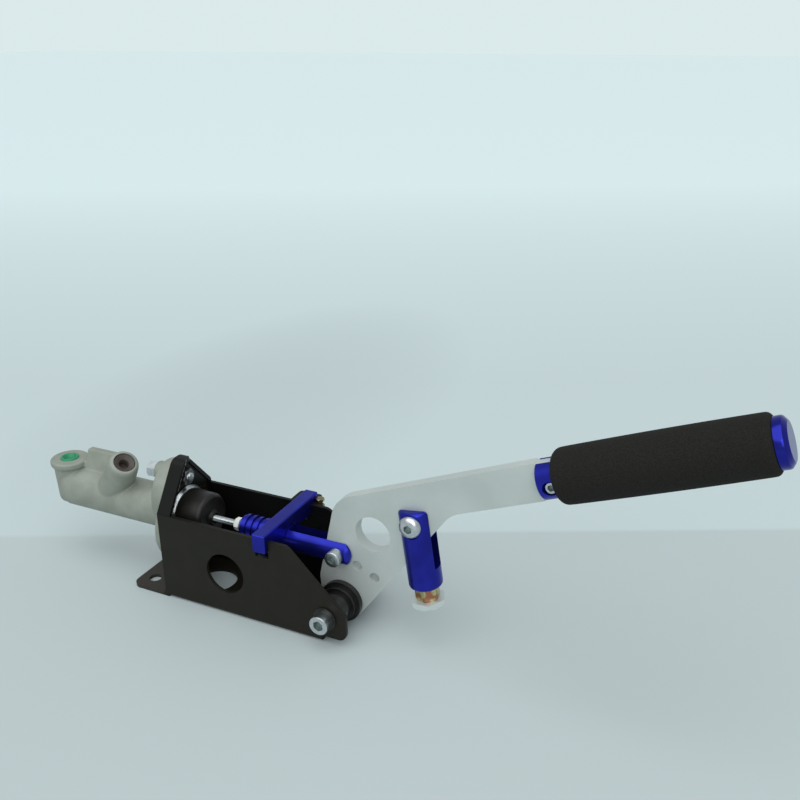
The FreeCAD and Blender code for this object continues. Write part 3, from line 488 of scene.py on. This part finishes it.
parts.append(block)
for side in (-1, 1):
    parts.append(add_bar(boss_radius, (flange_left - boss_run, 0, axis_z + side * flange_bolt_offset),
                         (flange_left + overlap, 0, axis_z + side * flange_bolt_offset)))
casting = join_all(parts, "cylinder_casting")
casting.data.remesh_voxel_size = voxel
select_only(casting)
bpy.ops.object.voxel_remesh()
soften = casting.modifiers.new("soften", "SMOOTH")
soften.factor = 0.6
soften.iterations = 6
apply_modifiers(casting)
rim = inlet_root + inlet_lean * inlet_length
bores = [
    add_bar(0.0084, (outlet_x, 0, outlet_top - outlet_plug_depth), (outlet_x, 0, outlet_top + 0.004)),
    add_bar(0.0025, (outlet_x, 0, axis_z), (outlet_x, 0, outlet_top + 0.003), sides=24),
    add_bar(0.0093, rim - inlet_lean * inlet_plug_depth, rim + inlet_lean * 0.004),
    add_bar(cylinder_bore, (cylinder_bore_left, 0, axis_z), (flange_right + 0.012, 0, axis_z)),
]
for side in (-1, 1):
    bores.append(add_bar(0.00425, (flange_left - 0.015, 0, axis_z + side * flange_bolt_offset),
                         (flange_right + 0.002, 0, axis_z + side * flange_bolt_offset), sides=32))
combine(casting, bores)
bpy.ops.object.shade_smooth_by_angle(angle=math.radians(40))
cast_colour = (0.310, 0.332, 0.288)
cast_dark = (0.250, 0.270, 0.230)
cast_finish, cast_shader, cast_place = new_finish("cast_finish", cast_colour, 0.60, 0.25)
cast_patches = add_range(cast_finish, add_noise(cast_finish, cast_place, 70.0, 5.0), 0.35, 0.70)
cast_finish.node_tree.links.new(add_mix(cast_finish, cast_patches, cast_colour, cast_dark),
                                cast_shader.inputs["Base Color"])
add_bump(cast_finish, cast_shader, add_noise(cast_finish, cast_place, 1400.0, 3.0), 0.45, 0.0003)
put_finish(cast_finish, casting)
stand_for(casting, "base", "cast_alloy", "cylinder_body")


# Plugs
# Two push-in plastic plugs keep dirt out: a green one with a raised ring, and a deep brown cup.
def give_node(made, *nodes):
    """Give solids that are shown as they are one material."""
    for node in nodes:
        for slot in frame["nodes"][node].material_slots:
            slot.material = made


green_plastic, green_shader, green_place = new_finish("green_plastic", (0.010, 0.235, 0.105), 0.4)
add_bump(green_plastic, green_shader, add_noise(green_plastic, green_place, 700.0), 0.15, 0.0002)
green_profile = [(0, 0), (0, 0.00835), (0.0030, 0.00835), (0.0039, 0.0080), (0.0042, 0.0073),
                 (0.0042, 0.0064), (0.0038, 0.0057), (0.0016, 0.0049), (0.0012, 0.0044), (0.0012, 0)]
green_seat = (outlet_x, 0, outlet_top - outlet_plug_depth)
green_plug = add_turned("outlet_plug_ring", green_profile, green_seat, (0, 0, 1))
bpy.ops.object.shade_smooth_by_angle(angle=math.radians(50))
put_finish(green_plastic, green_plug)
stand_for(green_plug, "base", "green_plastic", "outlet_plug")
brown_colour = (0.060, 0.046, 0.040)
brown_plastic, brown_shader, brown_place = new_finish("brown_plastic", brown_colour, 0.5)
brown_cloud = add_range(brown_plastic, add_noise(brown_plastic, brown_place, 350.0), 0.35, 0.70)
brown_plastic.node_tree.links.new(add_mix(brown_plastic, brown_cloud, brown_colour, (0.044, 0.032, 0.027)),
                                  brown_shader.inputs["Base Color"])
add_bump(brown_plastic, brown_shader, add_noise(brown_plastic, brown_place, 700.0), 0.15, 0.0002)
brown_profile = [(0, 0), (0, 0.00925), (0.0093, 0.00925), (0.0100, 0.0086), (0.0098, 0.0078),
                 (0.0086, 0.0048), (0.0080, 0.0041), (0.0015, 0.0037), (0.0015, 0)]
brown_seat = rim - inlet_lean * inlet_plug_depth
brown_plug = add_turned("inlet_plug_cup", brown_profile, brown_seat, inlet_lean)
bpy.ops.object.shade_smooth_by_angle(angle=math.radians(50))
put_finish(brown_plastic, brown_plug)
stand_for(brown_plug, "base", "brown_plastic", "inlet_plug")


# Flange bolts and nuts
# Zinc plated steel, pressed and rolled: the plating is bluish silver with a soft grain.
# Each bolt is a long hexagon head on a shank with an M8 thread at its nut.
zinc_colour = (0.62, 0.65, 0.66)
zinc_plate, zinc_shader, zinc_place = new_finish("zinc_plate", zinc_colour, 0.28, 1.0)
zinc_stain = add_range(zinc_plate, add_noise(zinc_plate, zinc_place, 300.0, 4.0), 0.40, 0.70)
zinc_plate.node_tree.links.new(add_mix(zinc_plate, zinc_stain, zinc_colour, (0.48, 0.52, 0.55)),
                               zinc_shader.inputs["Base Color"])
add_bump(zinc_plate, zinc_shader, add_noise(zinc_plate, zinc_place, 1500.0), 0.2, 0.0002)
dull_colour = (0.20, 0.205, 0.20)
dull_zinc, dull_shader, dull_place = new_finish("dull_zinc", dull_colour, 0.42, 0.9)
dull_stain = add_range(dull_zinc, add_noise(dull_zinc, dull_place, 260.0, 4.0), 0.40, 0.70)
dull_zinc.node_tree.links.new(add_mix(dull_zinc, dull_stain, dull_colour, (0.12, 0.12, 0.115)),
                              dull_shader.inputs["Base Color"])
add_bump(dull_zinc, dull_shader, add_noise(dull_zinc, dull_place, 1500.0), 0.2, 0.0002)


def add_hexagon(name, flats, start, direction, height, turn=0.0):
    """A hexagon with its corners turned off at both ends."""
    run = Vector(direction).normalized()
    spin = run.to_track_quat("Z", "Y") @ Quaternion((0, 0, 1), turn)
    bpy.ops.object.select_all(action="DESELECT")
    bpy.ops.mesh.primitive_cylinder_add(vertices=6, radius=flats / math.sqrt(3), depth=height,
                                        location=Vector(start) + run * height / 2,
                                        rotation=spin.to_euler())
    piece = bpy.context.object
    bpy.ops.object.transform_apply(location=True, rotation=True, scale=True)
    piece.name = name
    piece.data.name = name
    broken = 0.10 * flats
    over = 0.00001
    crown = [(-over, 0), (-over, 0.485 * flats), (broken, 0.60 * flats), (height - broken, 0.60 * flats),
             (height + over, 0.485 * flats), (height + over, 0)]
    combine(piece, [add_turned("crown", crown, start, run)], "INTERSECT")
    return piece


def thread_rows(start, end, pitch):
    """Distances along a thread, six to each turn."""
    count = round((end - start) / pitch * 6)
    return [start + (end - start) * i / count for i in range(count + 1)]


def thread_relief(pitch, depth, start, end):
    """The wave of a thread: full height between its ends, and nothing past them."""
    def relief(angle, distance):
        if not start <= distance <= end:
            return 0.0
        turn = (distance / pitch - angle / (2 * math.pi)) % 1.0
        return -depth * abs(2 * turn - 1)
    return relief


m8_radius = 0.0040
m8_pitch = 0.00125
bolt_flats = 0.013
bolt_head = 0.0088
shank_run = 0.0340
thread_start = 0.0225
thread_end = shank_run - 0.0008
shank_profile = [(0, 0), (0, m8_radius), (thread_start - 0.0002, m8_radius)]
shank_profile += [(row, m8_radius) for row in thread_rows(thread_start, thread_end, m8_pitch)]
shank_profile += [(shank_run, 0.0033), (shank_run, 0)]
for side, name in ((-1, "lower_flange_bolt"), (1, "upper_flange_bolt")):
    seat = Vector((flange_left - boss_run, 0, axis_z + side * flange_bolt_offset))
    head = add_hexagon("head", bolt_flats, seat, (-1, 0, 0), bolt_head)
    finish_edges(head, 0.0003)
    shank = add_turned("shank", shank_profile, seat, (1, 0, 0), 40,
                       thread_relief(m8_pitch, 0.0006, thread_start, thread_end))
    bpy.ops.object.shade_smooth_by_angle(angle=math.radians(50))
    bolt = join_all([head, shank], name)
    put_finish(zinc_plate, bolt)
    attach(bolt, "base")
    if side == 1:
        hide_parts("flange_bolts")
nuts = rounded_copy("flange_nuts", "flange_nut_pair", 0.0003)
put_finish(dull_zinc, nuts)
stand_for(nuts, "base", "bright_zinc", "flange_nuts")


# Boot ring
# Bright spring steel clamp pressed on the boot, its front turned to a slope.
ring_profile = [(0, 0.02145), (0, 0.0232), (0.0005, 0.0237), (0.0010, 0.0237), (0.0034, 0.0222),
                (0.0036, 0.02145), (0, 0.02145)]
boot_ring = add_turned("boot_clamp", ring_profile, (-0.046, 0, axis_z), (1, 0, 0), 128)
bpy.ops.object.shade_smooth_by_angle(angle=math.radians(30))
put_finish(zinc_plate, boot_ring)
stand_for(boot_ring, "base", "bright_zinc", "boot_ring")


# Boot
# Black rubber cup pushed over the cylinder's spigot, with a lip for the push rod.
boot_colour = (0.0060, 0.0056, 0.0050)
boot_rubber, boot_shader, boot_place = new_finish("boot_rubber", boot_colour, 0.42)
boot_shader.inputs["Specular IOR Level"].default_value = 0.3
boot_bloom = add_range(boot_rubber, add_noise(boot_rubber, boot_place, 70.0, 4.0), 0.38, 0.72)
boot_rubber.node_tree.links.new(add_mix(boot_rubber, boot_bloom, boot_colour, (0.019, 0.0175, 0.015)),
                                boot_shader.inputs["Base Color"])
add_bump(boot_rubber, boot_shader, add_noise(boot_rubber, boot_place, 300.0), 0.25, 0.0003)
give_node(boot_rubber, "rod_boot", "pressure_seal", "wiper_seal")


# Inside the cylinder
# Steel piston, spring and circlip, hidden in the bore.
# The spring is a copy of its solid with a mesh of its own, riding with the base.
inner_steel, inner_shader, inner_place = new_finish("inner_steel", (0.45, 0.45, 0.44), 0.3, 1.0)
add_bump(inner_steel, inner_shader, add_noise(inner_steel, inner_place, 900.0), 0.1, 0.0001)
give_node(inner_steel, "piston", "circlip")
spring = merged_copy("return_spring", "spring")
bpy.ops.object.shade_smooth_by_angle(angle=math.radians(35.0))
put_finish(inner_steel, spring)
stand_for(spring, "base", "inner_steel", "return_spring")
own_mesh(spring)


# Push rod and its jam nut
# Bright zinc plated rod, threaded M6 from the boot to the fork, with a thin locking nut whose zinc is painted
# near white as a highlight.
rod_tip = -0.075
rod_radius = 0.003
rod_end = 0.113
rod_pitch = 0.001
rod_thread_start = 0.046
rod_thread_end = rod_end - 0.001
rod_profile = [(rod_radius * (1 - math.cos(math.radians(t))), rod_radius * math.sin(math.radians(t)))
               for t in range(0, 91, 15)]
rod_profile += [(row, rod_radius) for row in thread_rows(rod_thread_start, rod_thread_end, rod_pitch)]
rod_profile += [(rod_end, 0.0024), (rod_end, 0)]
push_rod = add_turned("threaded_push_rod", rod_profile, (rod_tip, 0, axis_z), (1, 0, 0), 32,
                      thread_relief(rod_pitch, 0.0005, rod_thread_start, rod_thread_end))
bpy.ops.object.shade_smooth_by_angle(angle=math.radians(60))
put_finish(zinc_plate, push_rod)
stand_for(push_rod, "rod", "bright_zinc", "push_rod")
# Painted highlight: the jam nut's zinc is made near white to stand for the light on its facets.
highlit_nut_zinc, nut_shader, nut_place = new_finish("highlit_nut_zinc", (0.93, 0.93, 0.87), 0.36, 0.5)
add_bump(highlit_nut_zinc, nut_shader, add_noise(highlit_nut_zinc, nut_place, 1500.0), 0.2, 0.0002)
nut_right = 0.0106
jam_nut = add_hexagon("rod_jam_nut", 0.010, (nut_right, 0, axis_z), (-1, 0, 0), 0.005, math.radians(30))
combine(jam_nut, [add_bar(0.00305, (nut_right + 0.001, 0, axis_z), (nut_right - 0.006, 0, axis_z))])
finish_edges(jam_nut, 0.0002)
put_finish(highlit_nut_zinc, jam_nut)
stand_for(jam_nut, "rod", "bright_zinc", "jam_nut")


# Fork
# Turned from bar, grooved at its shank, slotted for the lever and anodised blue.
blue_colour = (0.020, 0.026, 0.38)
blue_alloy, blue_shader, blue_place = new_finish("blue_alloy", blue_colour, 0.3, 0.85)
blue_shade = add_range(blue_alloy, add_noise(blue_alloy, blue_place, 45.0, 3.0), 0.35, 0.70)
blue_alloy.node_tree.links.new(add_mix(blue_alloy, blue_shade, blue_colour, (0.014, 0.017, 0.255)),
                               blue_shader.inputs["Base Color"])
add_bump(blue_alloy, blue_shader, add_noise(blue_alloy, blue_place, 1200.0), 0.12, 0.0001)
fork_outline = [(0.0027, 0), (0.0027, 0.0056), (0.0080, 0.0112), (0.1045, 0.0116), (0.1070, 0.0109),
                (0.1090, 0.0097), (0.1108, 0.0078), (0.1120, 0.0055), (0.1120, 0)]
fork_start = (0.008, 0, axis_z)
fork = rounded_copy("clevis_fork", "fork_body", 0.0004,
                    trims=[add_turned("fork_outline", fork_outline, fork_start, (1, 0, 0), 96)])
put_finish(blue_alloy, fork)
stand_for(fork, "rod", "blue_alloy", "clevis_fork")
# Painted shade: a darker grey laid inside the screws' sockets, where shade falls.
socket_painted_shade, dark_shader, dark_place = new_finish("socket_painted_shade", (0.28, 0.34, 0.33), 0.45, 0.8)
add_bump(socket_painted_shade, dark_shader, add_noise(socket_painted_shade, dark_place, 1500.0), 0.2, 0.0002)


def add_screw(name, head, key, seat, direction, shank_radius, shank_length, pitch, deep=0.5, plain=0.6):
    """A screw with a hexagon socket: head profile, key size, and a shank threaded past its plain share."""
    out = Vector(direction).normalized()
    height = max(distance for distance, radius in head)
    top = add_turned("head", head, seat, out, 48)
    bpy.ops.mesh.primitive_cylinder_add(vertices=6, radius=key / math.sqrt(3), depth=height,
                                        location=Vector(seat) + out * height * (1.5 - deep),
                                        rotation=out.to_track_quat("Z", "Y").to_euler())
    combine(top, [bpy.context.object])
    finish_edges(top, 0.00015)
    put_finish(zinc_plate, top)
    # The faces inside the socket take the painted shade.
    top.data.materials.append(socket_painted_shade)
    for face in top.data.polygons:
        from_seat = face.center - Vector(seat)
        depth = from_seat.dot(out)
        if (from_seat - out * depth).length < key * 0.57 and depth < height * 0.97:
            face.material_index = 1
    end = shank_length - 0.0006
    start = shank_length * plain
    profile = [(0, 0), (0, shank_radius), (start - 0.0002, shank_radius)]
    profile += [(row, shank_radius) for row in thread_rows(start, end, pitch)]
    profile += [(shank_length, shank_radius - 0.0007), (shank_length, 0)]
    shank = add_turned("shank", profile, seat, -out, 32, thread_relief(pitch, 0.5 * pitch, start, end))
    bpy.ops.object.shade_smooth_by_angle(angle=math.radians(60))
    put_finish(zinc_plate, shank)
    return join_all([top, shank], name)


def socket_profile(radius, height, rounding):
    """Head of a socket screw: a short cylinder with its top edge rounded."""
    profile = [(0, 0), (0, radius), (height - rounding, radius)]
    for turn in (30, 60, 90):
        profile.append((height - rounding * (1 - math.sin(math.radians(turn))),
                        radius - rounding * (1 - math.cos(math.radians(turn)))))
    return profile + [(height, 0)]


pin_low, pin_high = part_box("fork_bolt")
pin_middle = (pin_low + pin_high) / 2
fork_side = -0.0098
pin_seat = Vector((pin_middle.x, fork_side, pin_middle.z))
fork_bolt = add_screw("fork_pin_bolt", socket_profile(0.0065, 0.0080, 0.0006), 0.006, pin_seat, (0, -1, 0),
                      m8_radius, 0.0276, m8_pitch)
stand_for(fork_bolt, "rod", "bright_zinc", "fork_bolt")
fork_nut = rounded_copy("fork_nut", "fork_pin_nut", 0.0003)
put_finish(zinc_plate, fork_nut)
stand_for(fork_nut, "rod", "bright_zinc", "fork_nut")


# Cross bar and ear screw
# Square anodised bar laid in the wall notches over the push rod; a small screw stands beside it.
bar = rounded_copy("cross_bar", "stop_bar", 0.0003, 30.0)
put_finish(blue_alloy, bar)
stand_for(bar, "base", "blue_alloy", "cross_bar")
old_zinc, old_shader, old_place = new_finish("old_zinc", (0.30, 0.25, 0.15), 0.35, 1.0)
add_bump(old_zinc, old_shader, add_noise(old_zinc, old_place, 1500.0), 0.2, 0.0002)
ear_place = Vector((0.0636, 0.0414, 0.080))
ear_flats = 0.007
ear_run = 0.0080
ear_pitch = 0.0007
ear_thread_end = ear_run - 0.0005
ear_head = add_hexagon("head", ear_flats, ear_place, (0, 0, 1), 0.0028, math.radians(10))
finish_edges(ear_head, 0.0002)
ear_profile = [(0, 0)] + [(row, 0.0020) for row in thread_rows(0.0, ear_thread_end, ear_pitch)]
ear_profile += [(ear_run, 0.0016), (ear_run, 0)]
ear_shank = add_turned("shank", ear_profile, ear_place, (0, 0, -1), 24,
                       thread_relief(ear_pitch, 0.0003, 0.0, ear_thread_end))
bpy.ops.object.shade_smooth_by_angle(angle=math.radians(60))
ear_screw = join_all([ear_head, ear_shank], "ear_stop_screw")
put_finish(old_zinc, ear_screw)
stand_for(ear_screw, "base", "bright_zinc", "ear_screw")
ear_nut = add_hexagon("ear_stop_nut", ear_flats, ear_place - Vector((0, 0, sheet)), (0, 0, -1), 0.0032)
combine(ear_nut, [add_bar(0.00205, ear_place, ear_place - Vector((0, 0, 0.010)), sides=32)])
finish_edges(ear_nut, 0.0002)
put_finish(old_zinc, ear_nut)
stand_for(ear_nut, "base", "bright_zinc", "ear_nuts")


# Pivot
# Socket head bolt, washers and nut across the walls, with black stepped spacers beside the lever.
black_steel, black_shader, black_place = new_finish("black_steel", (0.024, 0.023, 0.022), 0.24, 0.5)
add_bump(black_steel, black_shader, add_noise(black_steel, black_place, 900.0), 0.15, 0.0002)
bearing_bronze, bronze_shader, bronze_place = new_finish("bearing_bronze", (0.42, 0.30, 0.14), 0.4, 1.0)
add_bump(bearing_bronze, bronze_shader, add_noise(bearing_bronze, bronze_place, 900.0), 0.15, 0.0002)
m10_radius = 0.0050
m10_pitch = 0.0015
pivot_seat = pivot + Vector((0, -0.0365, 0))
pivot_bolt = add_screw("pivot_socket_bolt", socket_profile(0.0080, 0.0100, 0.0006), 0.008, pivot_seat, (0, -1, 0),
                       m10_radius, 0.0835, m10_pitch, plain=0.8)
stand_for(pivot_bolt, "base", "bright_zinc", "pivot_bolt")
pivot_nut = rounded_copy("pivot_nut", "pivot_lock_nut", 0.0003)
put_finish(zinc_plate, pivot_nut)
stand_for(pivot_nut, "base", "bright_zinc", "pivot_nut")
for node, name in (("pivot_spacer_near", "near_spacer"), ("pivot_spacer_far", "far_spacer"),
                   ("pivot_washers", "washer_pair")):
    piece = rounded_copy(node, name, 0.0004)
    put_finish(black_steel, piece)
    stand_for(piece, "base", "black_steel", node)
give_node(inner_steel, "pivot_sleeve")
give_node(bearing_bronze, "pivot_bush")


# Lever plate
# Cut from thick aluminium plate, then blasted: satin and pale, with faint clouds.
plate_colour = (0.56, 0.605, 0.585)
lever_satin, lever_shader, lever_place = new_finish("lever_satin", plate_colour, 0.5, 0.4)
lever_cloud = add_range(lever_satin, add_noise(lever_satin, lever_place, 25.0, 4.0), 0.35, 0.70)
lever_satin.node_tree.links.new(add_mix(lever_satin, lever_cloud, plate_colour, (0.49, 0.54, 0.52)),
                                lever_shader.inputs["Base Color"])
add_bump(lever_satin, lever_shader, add_noise(lever_satin, lever_place, 1600.0), 0.3, 0.0002)
plate = rounded_copy("lever_plate", "lever_blade", 0.0005)
put_finish(lever_satin, plate)
stand_for(plate, "lever", "lever_alloy", "lever_plate")


# Handle tube, its screws and its cap
# Drawn tube, slotted over the plate and anodised blue; a turned cap closes its end.
handle_middle = Vector((0.351, 0.0, 0.1945))
handle_angle = math.radians(20.8)
handle_run = Vector((math.cos(handle_angle), 0, math.sin(handle_angle)))
handle_up = Vector((-handle_run.z, 0, handle_run.x))
tube = rounded_copy("handle_tube", "handle_sleeve", 0.0003)
put_finish(blue_alloy, tube)
stand_for(tube, "lever", "blue_alloy", "handle_tube")
screw_places = (-0.0782, -0.0550)
screw_drop = 0.0027
screw_side = Vector((0, -0.0074, 0))
screws = []
for distance in screw_places:
    seat = handle_middle + handle_run * distance - handle_up * screw_drop + screw_side
    screws.append(add_screw("screw", socket_profile(0.00425, 0.0050, 0.0006), 0.0044, seat, (0, -1, 0),
                            0.0025, 0.0200, 0.0008, deep=0.7))
handle_screws = join_all(screws, "handle_screw_pair")
stand_for(handle_screws, "lever", "bright_zinc", "handle_screws")
cap_start = 0.0689
cap_profile = [(-0.0120, 0), (-0.0120, 0.01044), (0, 0.01044), (0, 0.0166), (0.0004, 0.0170),
               (0.0046, 0.0170), (0.0058, 0.0166), (0.0078, 0.0141), (0.0084, 0.0130), (0.0084, 0)]
cap_blue, cap_shader, cap_place = new_finish("cap_blue", (0.014, 0.017, 0.26), 0.2, 0.85)
add_bump(cap_blue, cap_shader, add_noise(cap_blue, cap_place, 900.0, 2.0, (1.0, 0.15, 1.0)), 0.15, 0.0001)
cap = add_turned("handle_cap", cap_profile, handle_middle + handle_run * cap_start, handle_run, 96)
bpy.ops.object.shade_smooth_by_angle(angle=math.radians(24))
put_finish(cap_blue, cap)
stand_for(cap, "lever", "blue_alloy", "end_cap")


# Foam grip
# Soft black foam sleeve pushed on the tube, a little fuller in its middle, with rounded ends.
grip_start = -0.0753
grip_end = 0.0689
grip_bore = 0.01465
start_rounding = 0.0060
end_rounding = 0.0042
grip_steps = 40


def grip_radius(distance):
    """Radius of the foam: slimmer at the plate's end, fullest in the middle."""
    share = (distance - grip_start) / (grip_end - grip_start)
    return 0.0200 + 0.0007 * math.sin(math.pi * (share * 0.85 + 0.05))


grip_profile = [(grip_start, grip_bore)]
for turn in range(0, 91, 10):
    reach = start_rounding * (1 - math.cos(math.radians(turn)))
    inset = start_rounding * (1 - math.sin(math.radians(turn)))
    grip_profile.append((grip_start + reach, grip_radius(grip_start) - inset))
for step in range(1, grip_steps):
    distance = grip_start + start_rounding
    distance += (grip_end - end_rounding - distance) * step / grip_steps
    grip_profile.append((distance, grip_radius(distance)))
for turn in range(0, 91, 15):
    reach = end_rounding * (1 - math.sin(math.radians(turn)))
    inset = end_rounding * (1 - math.cos(math.radians(turn)))
    grip_profile.append((grip_end - reach, grip_radius(grip_end) - inset))
grip_profile += [(grip_end, grip_bore), (grip_start, grip_bore)]
grip = add_turned("grip_foam", grip_profile, handle_middle, handle_run, 128)
bpy.ops.object.shade_smooth_by_angle(angle=math.radians(50))
foam_colour = (0.0105, 0.0100, 0.0088)
foam, foam_shader, foam_place = new_finish("foam", foam_colour, 0.95)
foam_speck = add_range(foam, add_noise(foam, foam_place, 1300.0, 3.0), 0.40, 0.65)
foam.node_tree.links.new(add_mix(foam, foam_speck, foam_colour, (0.019, 0.018, 0.0155)),
                         foam_shader.inputs["Base Color"])
foam_shader.inputs["Specular IOR Level"].default_value = 0.2
add_bump(foam, foam_shader, add_noise(foam, foam_place, 1500.0, 3.0), 0.6, 0.0003)
put_finish(foam, grip)
stand_for(grip, "lever", "foam", "foam_grip")


# Link
# Round blue link body hung on the lever, with its bolt, stud, yellow lock nut and wide pale nut.
link_body = rounded_copy("link_barrel", "link_body", 0.0004)
put_finish(blue_alloy, link_body)
stand_for(link_body, "link", "blue_alloy", "link_barrel")
link_pivot = Vector((0.1734, 0, 0.1090))
dome_radius = 0.00875
dome_height = 0.0055
dome_rim = 0.0014
dome_profile = [(0, 0), (0, dome_radius - 0.0003), (0.0003, dome_radius), (dome_rim, dome_radius)]
for turn in range(15, 90, 15):
    dome_profile.append((dome_rim + (dome_height - dome_rim) * math.sin(math.radians(turn)),
                         dome_radius * (0.35 + 0.65 * math.cos(math.radians(turn)))))
dome_profile += [(dome_height, dome_radius * 0.35), (dome_height, 0)]
link_seat = link_pivot + Vector((0, -0.0120, 0))
link_bolt = add_screw("link_dome_bolt", dome_profile, 0.0062, link_seat, (0, -1, 0),
                      m10_radius, 0.0335, m10_pitch, deep=0.6)
stand_for(link_bolt, "link", "bright_zinc", "barrel_bolt")
link_nut = rounded_copy("barrel_nut", "link_bolt_nut", 0.0003)
put_finish(zinc_plate, link_nut)
stand_for(link_nut, "link", "bright_zinc", "barrel_nut")
give_node(zinc_plate, "link_stud")
yellow_colour = (0.55, 0.52, 0.26)
yellow_zinc, yellow_shader, yellow_place = new_finish("yellow_zinc", yellow_colour, 0.3, 1.0)
yellow_tint = add_range(yellow_zinc, add_noise(yellow_zinc, yellow_place, 120.0, 2.0), 0.46, 0.56)
yellow_zinc.node_tree.links.new(add_mix(yellow_zinc, yellow_tint, yellow_colour, (0.40, 0.17, 0.10)),
                                yellow_shader.inputs["Base Color"])
add_bump(yellow_zinc, yellow_shader, add_noise(yellow_zinc, yellow_place, 1200.0), 0.2, 0.0002)
lock_nut = rounded_copy("lock_nut", "link_lock_nut", 0.0003)
put_finish(yellow_zinc, lock_nut)
stand_for(lock_nut, "link", "yellow_zinc", "lock_nut")
pale_zinc, pale_shader, pale_place = new_finish("pale_zinc", (0.66, 0.71, 0.70), 0.45, 0.6)
add_bump(pale_zinc, pale_shader, add_noise(pale_zinc, pale_place, 1200.0), 0.25, 0.0002)
foot_nut = rounded_copy("foot_nut", "link_foot_nut", 0.0004)
put_finish(pale_zinc, foot_nut)
stand_for(foot_nut, "link", "pale_zinc", "foot_nut")
